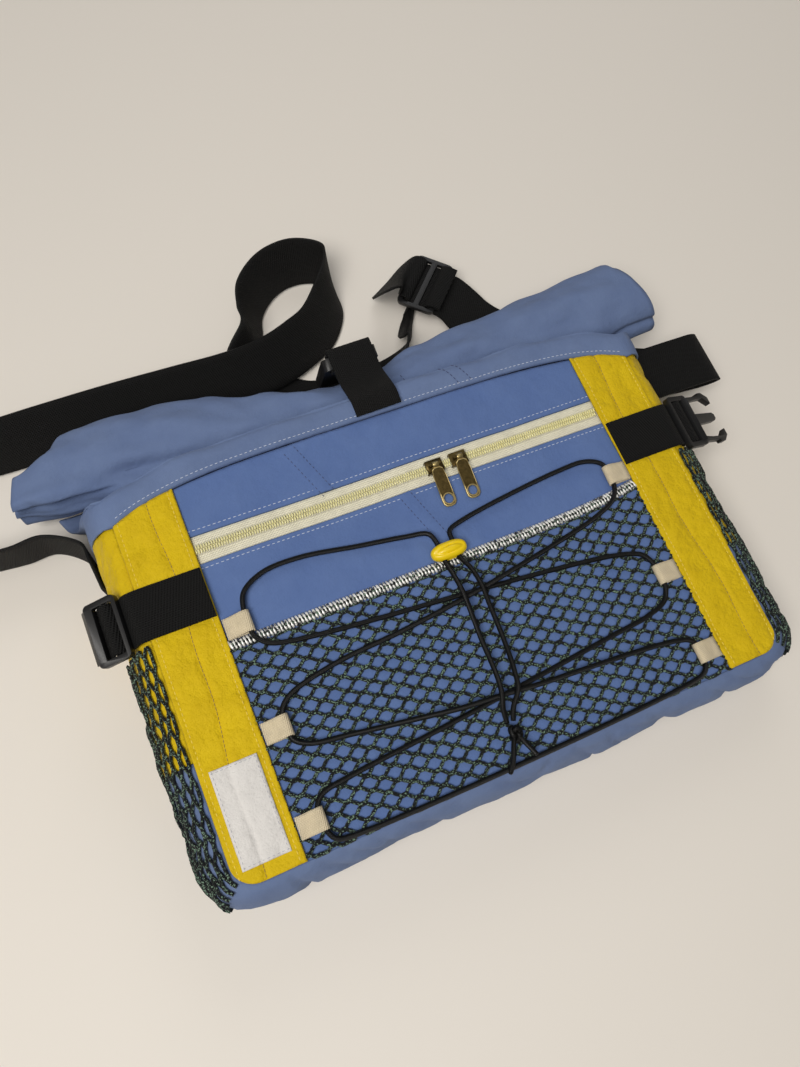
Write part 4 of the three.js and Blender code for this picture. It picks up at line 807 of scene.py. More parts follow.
zip_cream = tape_material("zip_tape_weave", linear(253, 248, 224), linear(238, 230, 194), 0.0009, 0.0012)
zip_y = 71.0
rows = [
    [front(x, y, -1.05) for y in spread(zip_low - 0.2, zip_high + 0.2, 12)]
    for x in spread(-half_body + 0.2, half_body - 0.2, 150)
]
zip_tape = grid_piece("zip_tape_cloth", rows, zip_cream, thickness=0.7, outward=False)
dress(zip_tape, "zip_tape", slot="zip tape")

row_tree = bpy.data.node_groups.new("row along a path", "GeometryNodeTree")
for title, kind, value in (
    ("Path", "NodeSocketGeometry", None),
    ("Length", "NodeSocketFloat", 0.002),
    ("Width", "NodeSocketFloat", 0.0005),
    ("Height", "NodeSocketFloat", 0.0005),
    ("Spacing", "NodeSocketFloat", 0.003),
    ("Turn", "NodeSocketFloat", 0.0),
    ("Finish", "NodeSocketMaterial", None),
):
    socket = row_tree.interface.new_socket(title, in_out="INPUT", socket_type=kind)
    if value is not None:
        socket.default_value = value
row_tree.interface.new_socket("Pieces", in_out="OUTPUT", socket_type="NodeSocketGeometry")
row_in = row_tree.nodes.new("NodeGroupInput").outputs
line = add(row_tree, "GeometryNodeMeshToCurve", Mesh=row_in["Path"])
places = row_tree.nodes.new("GeometryNodeResampleCurve")
places.mode = "LENGTH"
fill(row_tree, places, Curve=line.outputs[0], Length=row_in["Spacing"])
ball = add(row_tree, "GeometryNodeMeshUVSphere", Segments=6, Rings=4, Radius=0.5)
size = add(row_tree, "ShaderNodeCombineXYZ", X=row_in["Length"], Y=row_in["Width"], Z=row_in["Height"])
lean = add(row_tree, "ShaderNodeCombineXYZ", Z=row_in["Turn"])
shaped = add(
    row_tree, "GeometryNodeTransform",
    Geometry=ball.outputs["Mesh"], Rotation=lean.outputs[0], Scale=size.outputs[0],
)
tangent = add(row_tree, "GeometryNodeInputTangent")
facing = add(row_tree, "FunctionNodeAlignRotationToVector", Vector=tangent.outputs[0])
facing.axis = "X"
placed = add(
    row_tree, "GeometryNodeInstanceOnPoints",
    Points=places.outputs[0], Instance=shaped.outputs[0], Rotation=facing.outputs[0],
)
smooth = add(row_tree, "GeometryNodeSetShadeSmooth", Geometry=placed.outputs[0])
real = add(row_tree, "GeometryNodeRealizeInstances", Geometry=smooth.outputs[0])
finished = add(row_tree, "GeometryNodeSetMaterial", Geometry=real.outputs[0], Material=row_in["Finish"])
join(row_tree, finished.outputs[0], row_tree.nodes.new("NodeGroupOutput").inputs[0])


def settled_mesh(piece, modifier):
    """The piece's mesh as its one modifier leaves it, with that modifier taken off."""
    bpy.context.view_layer.update()
    mesh = bpy.data.meshes.new_from_object(piece.evaluated_get(bpy.context.evaluated_depsgraph_get()))
    piece.modifiers.remove(modifier)
    piece.data = mesh
    return mesh


def row_of_pieces(name, runs, finish, length, width, height, spacing, turn=0.0):
    """Small rounded pieces set along runs of points in millimetres, such as stitches or a zip's loops."""
    points = []
    edges = []
    for run in runs:
        start = len(points)
        points.extend(point * mm for point in run)
        edges.extend((start + k, start + k + 1) for k in range(len(run) - 1))
    path = bpy.data.meshes.new(name)
    path.from_pydata(points, edges, [])
    carrier = in_scene(name, path)
    rows = carrier.modifiers.new("rows", "NODES")
    rows.node_group = row_tree
    sizes = {
        "Length": length * mm, "Width": width * mm, "Height": height * mm,
        "Spacing": spacing * mm, "Turn": turn, "Finish": finish,
    }
    for item in row_tree.interface.items_tree:
        if item.item_type == "SOCKET" and item.in_out == "INPUT" and item.name in sizes:
            rows[item.identifier] = sizes[item.name]
    settled_mesh(carrier, rows)
    return carrier


coil_nylon = toned(
    material("coil_nylon", linear(246, 240, 192), 0.35, coat=0.2),
    linear(242, 236, 180), linear(226, 216, 140), 300.0,
)
coil_end = half_open - 0.3
row_shift = 0.7
coil_runs = [
    [front(x + shift, zip_y + side * 1.35, 0.25) for x in spread(-coil_end, coil_end - row_shift, 120)]
    for side, shift in ((-1, 0.0), (1, row_shift))
]
coil = row_of_pieces("zip_coil_loops", coil_runs, coil_nylon, 1.0, 3.7, 2.1, 1.55)
dress(coil, "zip_coil", slot="zip coil")
core = grid_piece(
    "zip_coil_core",
    [[front(x, zip_y + y, z) for y, z in ((-3, -1.0), (-2.8, -0.55), (0, -0.45), (2.8, -0.55), (3, -1.0))]
     for x in spread(-coil_end, coil_end, 120)],
    zip_cream, outward=False,
)
dress(core, "zip_coil", slot="zip tape")


# Sliders and pulls: cast antique brass. Each slider runs on the coil and its pull swings from a small
# bridge on top. The pull is a tapered plate with a raised rim and a round hole near its free end.
brass = material("antique_brass", linear(104, 86, 46), 0.42, metallic=0.9)
tree = brass.node_tree
tone = add_group(tree, shade, Colour=linear(80, 68, 38), Worn=linear(116, 98, 58), Amount=0.9, Size=420.0)
edges = tree.nodes.new("ShaderNodeAttribute")
edges.attribute_name = "rim"
painted(
    brass, Base_Color=mix(tree, edges.outputs["Fac"], tone.outputs["Colour"], linear(196, 176, 122)),
    Normal=bump(tree, tone.outputs["Height"], 0.25, 0.0003).outputs["Normal"],
)
bridge_height = 5.3
pull_length = 28.0
pull_dip = asin((bridge_height - 1.05) / pull_length)
across_front = Vector((1, 0, -front_fall)).normalized()
out_of_front = Vector((front_fall, -front_rise, 1)).normalized()
along_front = out_of_front.cross(across_front)


def on_front(x, y):
    """The axes of a flat hard piece that sits on the front."""
    return Matrix((
        (across_front.x, along_front.x, out_of_front.x, x),
        (across_front.y, along_front.y, out_of_front.y, y),
        (across_front.z, along_front.z, out_of_front.z, front_z(x, y)),
        (0, 0, 0, 1),
    ))


def cast(name, node, finish, round_off, slot, body="bag"):
    """A moulded or cast piece: the node's own shape with its edges rounded."""
    shape = bmesh.new()
    shape.from_mesh(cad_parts[node].data)
    bmesh.ops.remove_doubles(shape, verts=shape.verts, dist=2e-6)
    bmesh.ops.dissolve_limit(shape, angle_limit=radians(1.5), verts=shape.verts, edges=shape.edges)
    bmesh.ops.recalc_face_normals(shape, faces=shape.faces)
    mesh = bpy.data.meshes.new(name)
    shape.to_mesh(mesh)
    shape.free()
    mesh.materials.append(finish)
    mesh.shade_smooth()
    piece = in_scene(name, mesh)
    rounding = piece.modifiers.new("rounding", "BEVEL")
    rounding.width = round_off * mm
    rounding.segments = 3
    rounding.limit_method = "ANGLE"
    rounding.angle_limit = radians(25)
    rounding.harden_normals = True
    return dress(piece, node, slot=slot, body=body)


def ring_faces(rings, sides, start=0):
    """Faces between closed rings of points, from each ring to the next and from the last to the first."""
    faces = []
    for i in range(rings):
        here, there = start + i * sides, start + (i + 1) % rings * sides
        for k in range(sides):
            n = (k + 1) % sides
            faces.append((here + k, there + k, there + n, here + n))
    return faces


def pull_piece(name, matrix):
    """Rings of points round the hole, from the eye end's outline in to the hole and back underneath."""
    half = 4.5
    hole = Vector((0, -pull_length + half * 1.15))
    outline = [
        (0, -1.6), (2.6, -1.7), (3.4, -2.5), (3.9, -4.2), (4.1, -7.2), (4.3, -14),
        (half, -pull_length + half), (half * 0.93, -pull_length + 2.2),
        (half * 0.62, -pull_length + 0.55), (0, -pull_length),
    ]
    outline += [(-x, y) for x, y in reversed(outline[1:-1])]
    sides = 72
    rays = []
    for k in range(sides):
        angle = pi / 2 - k / sides * tau
        way = Vector((cos(angle), sin(angle)))
        reach = 0.0
        for (x0, y0), (x1, y1) in zip(outline, outline[1:] + outline[:1]):
            edge = Vector((x1 - x0, y1 - y0))
            start = Vector((x0, y0)) - hole
            cross = way.x * edge.y - way.y * edge.x
            if abs(cross) > 1e-9:
                far = (start.x * edge.y - start.y * edge.x) / cross
                share = (start.x * way.y - start.y * way.x) / cross
                if far > 0 and -1e-6 <= share <= 1 + 1e-6:
                    reach = max(reach, far)
        rays.append((way, reach))
    bore = 3.0
    rings = [
        # at the outline, outwards from there, height, brightness
        (True, -0.25, -0.75, 0.8), (True, 0.0, -0.55, 1.0), (True, 0.0, 0.55, 1.0), (True, -0.25, 0.75, 1.0),
        (True, -0.35, 0.8, 1.0), (True, -0.95, 0.75, 0.9), (True, -1.2, 0.38, 0.0), (False, 1.0, 0.38, 0.0),
        (False, 0.8, 0.75, 0.9), (False, 0.2, 0.78, 1.0), (False, 0.0, 0.6, 1.0), (False, 0.0, -0.6, 0.8),
        (False, 0.25, -0.75, 0.6),
    ]
    points = []
    rim = []
    for outer, inset, z, bright in rings:
        for way, reach in rays:
            place = hole + way * (max(reach + inset, bore + 0.3) if outer else bore + inset)
            points.append(matrix @ Vector((place.x, place.y, z)))
            rim.append(bright)
    faces = ring_faces(len(rings), sides)
    eye_sides = 20
    eye_rings = ((-2, 1.15), (-2, 1.75), (-1.8, 1.9), (1.8, 1.9), (2, 1.75), (2, 1.15))
    faces += ring_faces(len(eye_rings), eye_sides, start=len(points))
    for x, radius in eye_rings:
        for k in range(eye_sides):
            angle = k / eye_sides * tau
            points.append(matrix @ Vector((x, radius * cos(angle), radius * sin(angle))))
            rim.append(0.7)
    piece = mesh_piece(name, points, faces, brass)
    shape = bmesh.new()
    shape.from_mesh(piece.data)
    bmesh.ops.recalc_face_normals(shape, faces=shape.faces)
    shape.to_mesh(piece.data)
    shape.free()
    worn = piece.data.attributes.new("rim", "FLOAT", "POINT")
    worn.data.foreach_set("value", rim)
    piece.data.set_sharp_from_angle(angle=radians(40))
    return piece


for side, x in (("left", 18.0), ("right", 34.5)):
    cast(f"{side}_slider_cast", f"{side}_slider", brass, 0.3, "aged brass")
    bridge = on_front(x, zip_y) @ Matrix.Translation((0, 0, bridge_height))
    swing = bridge @ Matrix.Rotation(pull_dip, 4, "X")
    dress(pull_piece(f"{side}_pull_plate", swing), f"{side}_pull", slot="aged brass", body=f"{side}_pull")


# The nets: knotted dark twine with pale flecks. The front one is sewn in at the sides and bottom and is
# open along its selvedge, and a narrow one runs down each side wall.
def tube_piece(name, runs, finish, sides=8, closed_ends=True):
    """Round cord through points in millimetres, each with its own radius, and a UV map along its length."""
    points = []
    faces = []
    corners = []
    for run, radii in runs:
        start = len(points)
        length = 0.0
        lengths = []
        side_way = None
        for k, place in enumerate(run):
            ahead = run[min(k + 1, len(run) - 1)] - run[max(k - 1, 0)]
            ahead = ahead.normalized() if ahead.length > 1e-9 else Vector((0, 1, 0))
            if side_way is None:
                side_way = ahead.cross(Vector((0.1, 0.2, 1))).normalized()
            side_way = (side_way - ahead * side_way.dot(ahead)).normalized()
            other = ahead.cross(side_way)
            if k:
                length += (place - run[k - 1]).length
            lengths.append(length)
            for n in range(sides):
                angle = n / sides * tau
                points.append(place + (side_way * cos(angle) + other * sin(angle)) * radii[k])
        girth = tau * radii[len(radii) // 2]
        for k in range(len(run) - 1):
            for n in range(sides):
                m = (n + 1) % sides
                a, b = start + k * sides, start + (k + 1) * sides
                faces.append((a + n, a + m, b + m, b + n))
                u0, u1 = n / sides * girth, (n + 1) / sides * girth
                v0, v1 = lengths[k], lengths[k + 1]
                corners.extend(((u0, v0), (u1, v0), (u1, v1), (u0, v1)))
        if closed_ends:
            faces.append(tuple(start + n for n in reversed(range(sides))))
            faces.append(tuple(start + (len(run) - 1) * sides + n for n in range(sides)))
            corners.extend([(0, 0)] * (2 * sides))
    return mesh_piece(name, points, faces, finish, corners)


twine = material("net_twine", linear(22, 32, 30), 0.75, sheen=0.1, specular=0.3)
tree = twine.node_tree
flecks = add(tree, "ShaderNodeTexVoronoi", Vector=object_place(tree), Scale=1700.0)
shades = add(tree, "ShaderNodeSeparateColor", Color=flecks.outputs["Color"])
chosen = add(tree, "ShaderNodeMapRange", Value=shades.outputs[0], From_Min=0.76, From_Max=0.86)
painted(
    twine, Base_Color=mix(tree, chosen.outputs[0], linear(6, 12, 12), linear(114, 140, 120)),
    Normal=bump(tree, flecks.outputs["Distance"], 0.8, 0.0004).outputs["Normal"],
)


def knotted_net(name, place, strands, steps, thin, thick, joined):
    """Strands run side by side up a cell's wall, then part and cross to the neighbour on the other side."""
    runs = []
    for k in range(strands + 1):
        run = []
        radii = []
        for j in range(steps + 1):
            toward = 0.5 if (j + k) % 2 == 0 else -0.5
            share = (k + toward * 0.76) / strands
            across = min(max(share, 0.0), 1.0)
            if j == steps:
                run.append(place(across, 1.0, thick * 0.85, k * 1.7 + steps))
                radii.append(thick)
                break
            for part in (0.0, joined * 0.33, joined * 0.67, joined):
                twist = 0.22 * sin(part / joined * tau + k * pi)
                run.append(place(across, (j + part) / steps, thick * 0.85 + twist, k * 1.7 + j))
                radii.append(thin if share != across else thick)
            run.append(place(k / strands, (j + (1 + joined) / 2) / steps, thin * 0.85, k * 1.7 + j))
            radii.append(thin)
        runs.append((run, radii))
    return tube_piece(name, runs, twine, sides=5, closed_ends=False)


net_low = -half_height + 0.3
net_half = half_open - 0.6


def net_top(x):
    return 8.0 + 5.5 * max(0.0, x / half_open) ** 4


def front_net_place(along, across, lift, seed):
    x = (2 * across - 1) * (half_open + 1.6)
    y = net_low + (net_top(x) - net_low) * along
    x += 0.55 * ripple(x / 7, y / 7, seed * 0.01)
    y += 0.55 * ripple(x / 8, y / 8, 5.5)
    return front(x, y, 0.35 + lift)


front_net = knotted_net("front_net_twine", front_net_place, 28, 37, 1.12, 0.98, 0.48)
dress(front_net, "front_net", slot="net twine")
side_net_top = 28.0
side_net_low = -half_height + corner
side_net_drop = side_net_top - side_net_low
for side, name in both_sides:
    def side_net_place(across, along, lift, seed, side=side):
        angle = radians(7 + 138 * across)
        down = (1 - along) * (side_net_drop + 9.8)
        down += 0.7 * ripple(across * 6, down / 7, side * 3.0)
        turn = max(0.0, down - side_net_drop) / corner
        y = max(side_net_top - down, side_net_low) - corner * sin(turn)
        x = half_body - corner + corner * cos(turn)
        return wall_point(side * x, y, side * cos(turn), -sin(turn), angle, 1.0 + lift)
    net = knotted_net(f"{name}_side_net_twine", side_net_place, 20, 14, 0.95, 0.85, 0.4)
    dress(net, f"{name}_side_net", slot="net twine")


# The selvedge: the front net's open edge, crocheted over an elastic core in silver and white thread, with
# black stitches showing along it.
silver = material("silver_thread", linear(190, 192, 190), 0.38, metallic=0.25, sheen=0.2, specular=0.6)
tree = silver.node_tree
strands = add(tree, "ShaderNodeTexNoise", Vector=object_place(tree), Scale=420.0, Detail=4.0)
light = add(tree, "ShaderNodeMapRange", Value=strands.outputs["Fac"], From_Min=0.38, From_Max=0.51)
painted(
    silver, Base_Color=mix(tree, light.outputs[0], linear(34, 36, 36), linear(244, 244, 240)),
    Normal=bump(tree, strands.outputs["Fac"], 0.6, 0.0004).outputs["Normal"],
)


def selvedge_line(shift, lift):
    return [front(x, net_top(x) + 2.8 + shift, 1.5 + lift) for x in spread(-net_half, net_half, 120)]


core = tube_piece("selvedge_core", [(selvedge_line(0, 0.0), [1.5] * 121)], twine)
loops = row_of_pieces("selvedge_loops", [selvedge_line(0.15, 0.1)], silver, 2.3, 7.6, 3.0, 2.1, turn=0.22)
crossings = row_of_pieces("selvedge_crossings", [selvedge_line(-2.1, 0.6)], twine, 1.0, 1.7, 1.2, 3.9)
ties = row_of_pieces("selvedge_ties", [selvedge_line(0.4, 1.0)[2:-2]], twine, 0.9, 2.6, 1.4, 13.65, turn=0.5)
for piece in (core, loops, crossings, ties):
    dress(piece, "net_selvedge", slot="selvedge")


# Tape loops: cotton twill tape folded double round the elastic cord, with its ends sewn in under the
# side strips, three on each side.
cotton = tape_material(
    "cotton_tape", linear(244, 228, 194), linear(206, 184, 140), 0.0012, 0.0007, slant=0.62, mixing=0.75,
)
loop_rows = [
    ("left_top_loop", -1, 0.18), ("left_middle_loop", -1, -0.378), ("left_bottom_loop", -1, -0.85),
    ("right_top_loop", 1, 0.235), ("right_middle_loop", 1, -0.39), ("right_bottom_loop", 1, -0.86),
]
over_net = 1.4
loop_inner = 1.95
loop_bend = 2.35
loop_centre = over_net + 0.8 + loop_inner
loop_path = [(0.5 + 1.2 * k, 1.8) for k in range(10)]
for a in spread(-pi / 2, pi / 2, 12):
    loop_path.append((13.8 + loop_bend * cos(a), loop_centre + loop_bend * sin(a)))
loop_path += [(12.0, 6.35), (9.5, 5.5), (6.5, 4.1), (3.5, 3.1), (0.5, 2.75)]
for name, side, up in loop_rows:
    rows = []
    for reach, lift in loop_path:
        row = []
        for w in spread(-6.2, 6.2, 8):
            ruck = 0.12 * ripple(reach / 4, w / 4, up * 9)
            row.append(front(side * (half_open - reach), up * half_height + w, lift + ruck))
        rows.append(row)
    loop = grid_piece(f"{name}_tape", rows, cotton, thickness=0.75, outward=side < 0)
    loop.modifiers["wall"].offset = 0.0
    dress(loop, name, slot="cotton tape")


# The elastic cord: 3 mm rubber in a black braided sleeve, one length that is laced through the six loops
# in crosses, with both runs gripped by the toggle. Rows give shares of the front and the lift in diameters.
cord_stations = [
    (-0.05, -0.79, 1.2), (-0.045, -0.72, 2.2), (-0.03, -0.66, 3.05), (-0.015, -0.57, 2.75),
    (-0.005, -0.36, 1.8), (0.0, -0.2, 2.4), (0.0, -0.1, 3.05), (-0.005, 0.01, 2.5),
    (-0.012, 0.1, 1.62), (-0.012, 0.2, 1.58), (-0.03, 0.275, 1.3), (-0.13, 0.31, 0.8),
    (-0.34, 0.355, 0.6), (-0.6, 0.405, 0.6), (-0.77, 0.395, 0.7), (-0.87, 0.33, 0.85),
    (-0.895, 0.25, 0.9), (-0.895, 0.18, 0.9), (-0.895, 0.11, 0.9), (-0.86, 0.05, 0.8),
    (-0.79, 0.015, 0.7), (-0.05, -0.085, 0.6), (0.12, -0.105, 0.6), (0.78, -0.21, 0.65),
    (0.87, -0.26, 0.8), (0.895, -0.33, 0.9), (0.895, -0.39, 0.9), (0.895, -0.46, 0.9),
    (0.86, -0.53, 0.8), (0.76, -0.57, 0.65), (0.55, -0.595, 0.6), (-0.26, -0.68, 0.6),
    (-0.72, -0.72, 0.65), (-0.86, -0.745, 0.8), (-0.895, -0.79, 0.9), (-0.895, -0.85, 0.9),
    (-0.895, -0.905, 0.9), (-0.87, -0.96, 0.8), (-0.8, -0.98, 0.65), (0.8, -0.98, 0.65),
    (0.87, -0.96, 0.8), (0.895, -0.92, 0.9), (0.895, -0.86, 0.9), (0.895, -0.8, 0.9),
    (0.86, -0.765, 0.8), (0.12, -0.675, 1.75), (-0.02, -0.655, 1.8), (-0.2, -0.635, 1.7),
    (-0.42, -0.59, 0.9), (-0.66, -0.54, 0.6), (-0.84, -0.5, 0.75), (-0.895, -0.45, 0.9),
    (-0.895, -0.378, 0.9), (-0.895, -0.31, 0.9), (-0.85, -0.25, 0.8), (-0.64, -0.185, 0.65),
    (-0.3, -0.155, 1.0), (-0.04, -0.125, 1.75), (0.12, -0.1, 1.8), (0.25, -0.075, 1.7),
    (0.5, -0.02, 0.9), (0.74, 0.04, 0.65), (0.86, 0.1, 0.8), (0.895, 0.165, 0.9),
    (0.895, 0.235, 0.9), (0.89, 0.31, 0.85), (0.82, 0.36, 0.75), (0.68, 0.365, 0.65),
    (0.14, 0.285, 1.0), (0.065, 0.25, 1.5), (0.058, 0.2, 1.58), (0.058, 0.1, 1.62),
    (0.08, 0.01, 2.5), (0.09, -0.1, 3.05), (0.09, -0.2, 2.4), (0.085, -0.4, 1.8),
    (0.065, -0.57, 2.75), (0.045, -0.66, 3.05), (0.0, -0.73, 2.2), (-0.02, -0.79, 1.2),
]
elastic = tape_material(
    "elastic_sleeve", linear(9, 9, 9), linear(26, 26, 25), 0.0012, 0.0016, slant=1.0, roughness=0.42,
    depth=0.0001, mixing=0.5, sheen=0.0,
)


def smooth_run(points, steps):
    """More points on a smooth curve through the given ones, evenly between each two."""
    last = len(points) - 1
    return [curve_through(points, (i / (last * steps))) for i in range(last * steps + 1)]


def spaced_run(points, steps):
    """A curve through points with uneven spacing, which keeps long spans straight."""
    result = []
    last = len(points) - 1
    for i in range(last):
        p1, p2 = points[i], points[i + 1]
        p0 = points[i - 1] if i else p1 * 2 - p2
        p3 = points[i + 2] if i + 2 <= last else p2 * 2 - p1
        d1 = max((p1 - p0).length, 1e-6) ** 0.5
        d2 = max((p2 - p1).length, 1e-6) ** 0.5
        d3 = max((p3 - p2).length, 1e-6) ** 0.5
        m1 = (p1 - p0) / d1 - (p2 - p0) / (d1 + d2) + (p2 - p1) / d2
        m2 = (p2 - p1) / d2 - (p3 - p1) / (d2 + d3) + (p3 - p2) / d3
        m1, m2 = m1 * d2, m2 * d2
        for k in range(steps):
            t = k / steps
            h1 = 2 * t ** 3 - 3 * t ** 2 + 1
            h2 = -2 * t ** 3 + 3 * t ** 2
            h3 = t ** 3 - 2 * t ** 2 + t
            h4 = t ** 3 - t ** 2
            result.append(p1 * h1 + p2 * h2 + m1 * h3 + m2 * h4)
    result.append(points[-1])
    return result


cord_diameter = 3.0
cord_points = [
    front(across * half_open, up * half_height, over_net + lift * cord_diameter)
    for across, up, lift in cord_stations
]
cord_run = spaced_run(cord_points, 8)
cord = tube_piece("elastic_cord_sleeve", [(cord_run, [1.5] * len(cord_run))], elastic, sides=12)
dress(cord, "elastic_cord", slot="elastic")

# The cord's two ends are tied together in a plain overhand knot, and its short tails are melted shut.
knot_x, knot_y = -0.035 * half_open, -0.855 * half_height
net_height = 1.1
knot_path = []
for k in range(61):
    t = k / 60 * tau
    reach = 2.1 + 1.25 * cos(3 * t)
    x = knot_x + reach * cos(2 * t) * 0.95
    y = knot_y + reach * sin(2 * t) * 1.3
    knot_path.append(front(x, y, 5.2 + 1.5 * sin(3 * t)))


def tail(points):
    """A tail from the knot: places and lifts in cord diameters."""
    places = [front(knot_x + x * 3, knot_y + y * 3, net_height + lift * 3) for x, y, lift in points]
    return smooth_run(places, 6)


long_tail = tail([(-0.2, 0.2, 1.3), (-1.5, -2, 2.0), (-2.8, -4.4, 2.3), (-4.2, -6.2, 2.0)])
short_tail = tail([(0.2, 0.2, 1.3), (0.8, -2, 2.1), (1.6, -4, 2.35), (2, -5, 2.4)])
knot_runs = [(knot_path, [1.4] * len(knot_path))]
for run in (long_tail, short_tail):
    radii = [1.42] * len(run)
    radii[-1] = 0.9
    knot_runs.append((run, radii))
knot = tube_piece("cord_knot_tied", knot_runs, elastic, sides=10)
dress(knot, "cord_knot", slot="elastic")


# The toggle: a smooth moulded bean, hollow from front to back for the two runs of cord, with a raised
# lip round its sliding button.
toggle_plastic = toned(
    material("toggle_plastic", linear(238, 206, 10), 0.36, coat=0.15),
    linear(240, 208, 10), linear(226, 188, 2), 260.0,
)
toggle_half_height = 4.73
toggle_rise = Matrix.Translation((0, 0, net_height + clear + toggle_half_height))
toggle_frame = on_front(0.023 * half_open, 0.155 * half_height) @ toggle_rise


def bean(x_half, y_half, z_half, squareness, rows, steps, groove=0.0):
    """A closed rounded block; groove sinks a line round the top for the button's edge."""
    def power(value):
        return copysign(abs(value) ** squareness, value)
    shape = bmesh.new()
    corners = []
    for i in range(rows + 1):
        tilt = -pi / 2 + pi * i / rows
        for k in range(steps):
            turn = k / steps * tau
            x = x_half * power(cos(tilt)) * power(cos(turn))
            y = y_half * power(cos(tilt)) * power(sin(turn))
            z = z_half * power(sin(tilt))
            ring = hypot(x / (x_half * 0.74), y / (y_half * 0.42))
            if z > 0 and groove:
                z -= groove * bell((ring - 1.0) / 0.16)
                z += groove * 0.7 * exp(-(ring / 0.7) ** 4)
            corners.append(shape.verts.new(Vector((x, y, z))))
    for i in range(rows):
        for k in range(steps):
            n = (k + 1) % steps
            face = (i * steps + k, i * steps + n, (i + 1) * steps + n, (i + 1) * steps + k)
            shape.faces.new([corners[c] for c in face])
    bmesh.ops.remove_doubles(shape, verts=shape.verts, dist=1e-4)
    bmesh.ops.recalc_face_normals(shape, faces=shape.faces)
    return shape


def placed_shape(name, shape, matrix, finish):
    shape.transform(Matrix.Scale(mm, 4) @ matrix)
    mesh = bpy.data.meshes.new(name)
    shape.to_mesh(mesh)
    shape.free()
    mesh.materials.append(finish)
    mesh.shade_smooth()
    return in_scene(name, mesh)


shell_shape = bean(11.5, 5.5, toggle_half_height, 0.8, 28, 56, groove=0.7)
toggle = placed_shape("toggle_shell", shell_shape, toggle_frame, toggle_plastic)
tunnel = placed_shape("toggle_tunnel", bean(6.6, 8.0, 1.95, 0.35, 10, 24), toggle_frame, toggle_plastic)
cut = toggle.modifiers.new("cut", "BOOLEAN")
cut.object = tunnel
cut.operation = "DIFFERENCE"
settled_mesh(toggle, cut).set_sharp_from_angle(angle=radians(50))
bpy.data.objects.remove(tunnel)
dress(toggle, "cord_toggle", slot="yellow plastic")


# The label: a blank pale woven patch sewn on the left strip near its bottom.
label_cloth = cloth_material(
    "label_cloth", linear(231, 228, 224), linear(216, 213, 210), thread=0.0004, amount=0.4, size=90.0,
    crease=0.5,
)
label_x, label_y = -half_body + 19.5, -0.685 * half_height
rows = [
    [strip_top(label_x + u, label_y + v, 0.62) for u in spread(-13.4, 13.4, 22)]
    for v in spread(-26.8, 26.8, 44)
]
label = grid_piece("label_patch", rows, label_cloth, thickness=0.5)
dress(label, "label", slot="label cloth")


# Side tabs: 30 mm webbing that lies over the strips, bends down over the bag's edge and is threaded
# through a buckle half. Rows go out from the strip's inner edge: the reach and the height in millimetres.
# The lighter colour mixed in on the webbing's rib tops is painted highlight; the webbing itself is plain
# black.
webbing = tape_material(
    "webbing", linear(8, 8, 8), linear(30, 29, 27), 0.0017, 0.0013, slant=0.35, roughness=0.72, depth=0.0004,
    mixing=0.7, sheen=0.0,
)
black_plastic = toned(
    material("black_plastic", linear(22, 22, 23), 0.42), linear(20, 20, 21), linear(26, 26, 27), 200.0,
)
tree = black_plastic.node_tree
grain = add(tree, "ShaderNodeTexNoise", Vector=object_place(tree), Scale=1400.0, Detail=2.0)
dull = add(tree, "ShaderNodeMapRange", Value=grain.outputs["Fac"], To_Min=0.34, To_Max=0.52)
spark = bump(tree, grain.outputs["Fac"], 0.15, 0.0002)
painted(black_plastic, Roughness=dull.outputs[0], Normal=spark.outputs["Normal"])
tab_path = [
    (1.00, 3.6), (5.02, 3.6), (10.8, 3.6), (16.85, 3.6), (21.93, 3.61),
    (26.71, 3.68), (31.17, 3.71), (35.1, 3.6), (38.43, 3.41), (41.26, 3.13),
    (43.62, 2.56), (45.54, 1.47), (46.96, -0.34), (47.96, -2.27), (48.66, -3.61),
    (51.58, -4.92), (57.11, -2.34), (60.49, -3.85), (62.36, -9.72), (66.93, -11.75),
]
tab_webbing_width = 30.0
tab_webbing_thickness = 1.9


def ribbon_piece(name, path, width, thickness, finish):
    """Flat webbing: path gives the middle of each place and the way across it."""
    rows = [[place + sideways * (w * width / 2) for w in spread(-1, 1, 8)] for place, sideways in path]
    piece = grid_piece(name, rows, finish, thickness=thickness)
    piece.modifiers["wall"].offset = 0.0
    return piece


def finer(points, steps):
    """Points added between each two, with the corners rounded a little."""
    return spaced_run([Vector((p, q, 0)) for p, q in points], steps)


for side, name in both_sides:
    base = on_front(side * half_open, tab_y)
    path = [(base @ Vector((side * point.x, 0, point.y)), along_front) for point in finer(tab_path, 3)]
    tab = ribbon_piece(f"{name}_tab_webbing", path, tab_webbing_width, tab_webbing_thickness, webbing)
    dress(tab, f"{name}_tab", slot="webbing")
    cast(f"{name}_buckle_moulded", f"{name}_buckle", black_plastic, 0.6, "black plastic")


# The closure: webbing from the mouth band goes over the roll to a buckle behind it, and a second length
# holds the buckle's lower end from under the roll. Rows are y and z in millimetres.
closure_path = [
    (117.00, 85.3), (118.39, 85.85), (120.38, 86.65), (122.53, 87.34), (124.34, 87.62),
    (125.56, 87.72), (126.92, 87.53), (129.32, 86.79), (133.49, 85.02), (139.04, 82.26),
    (145.11, 79.65), (150.9, 78.34), (157.08, 78.89), (163.27, 80.29), (168.27, 81.27),
    (170.97, 80.71), (171.58, 78.91), (171.2, 76.82), (170.95, 75.37), (172.52, 70.52),
    (162.44, 67.24), (159.94, 74.94),
]
anchor_path = [
    (177.55, 20.73), (175.36, 27.49), (185.44, 30.76), (187.02, 25.91), (187.36, 24.78),
    (187.84, 23.16), (187.03, 21.24), (183.53, 19.09), (177.12, 16.34), (169.62, 13.62),
    (162.94, 11.75), (157.47, 11.17), (152.48, 11.4), (148.18, 11.83), (144.78, 11.98),
    (142.26, 12.08), (140.46, 12.17), (139.21, 12.24),
]
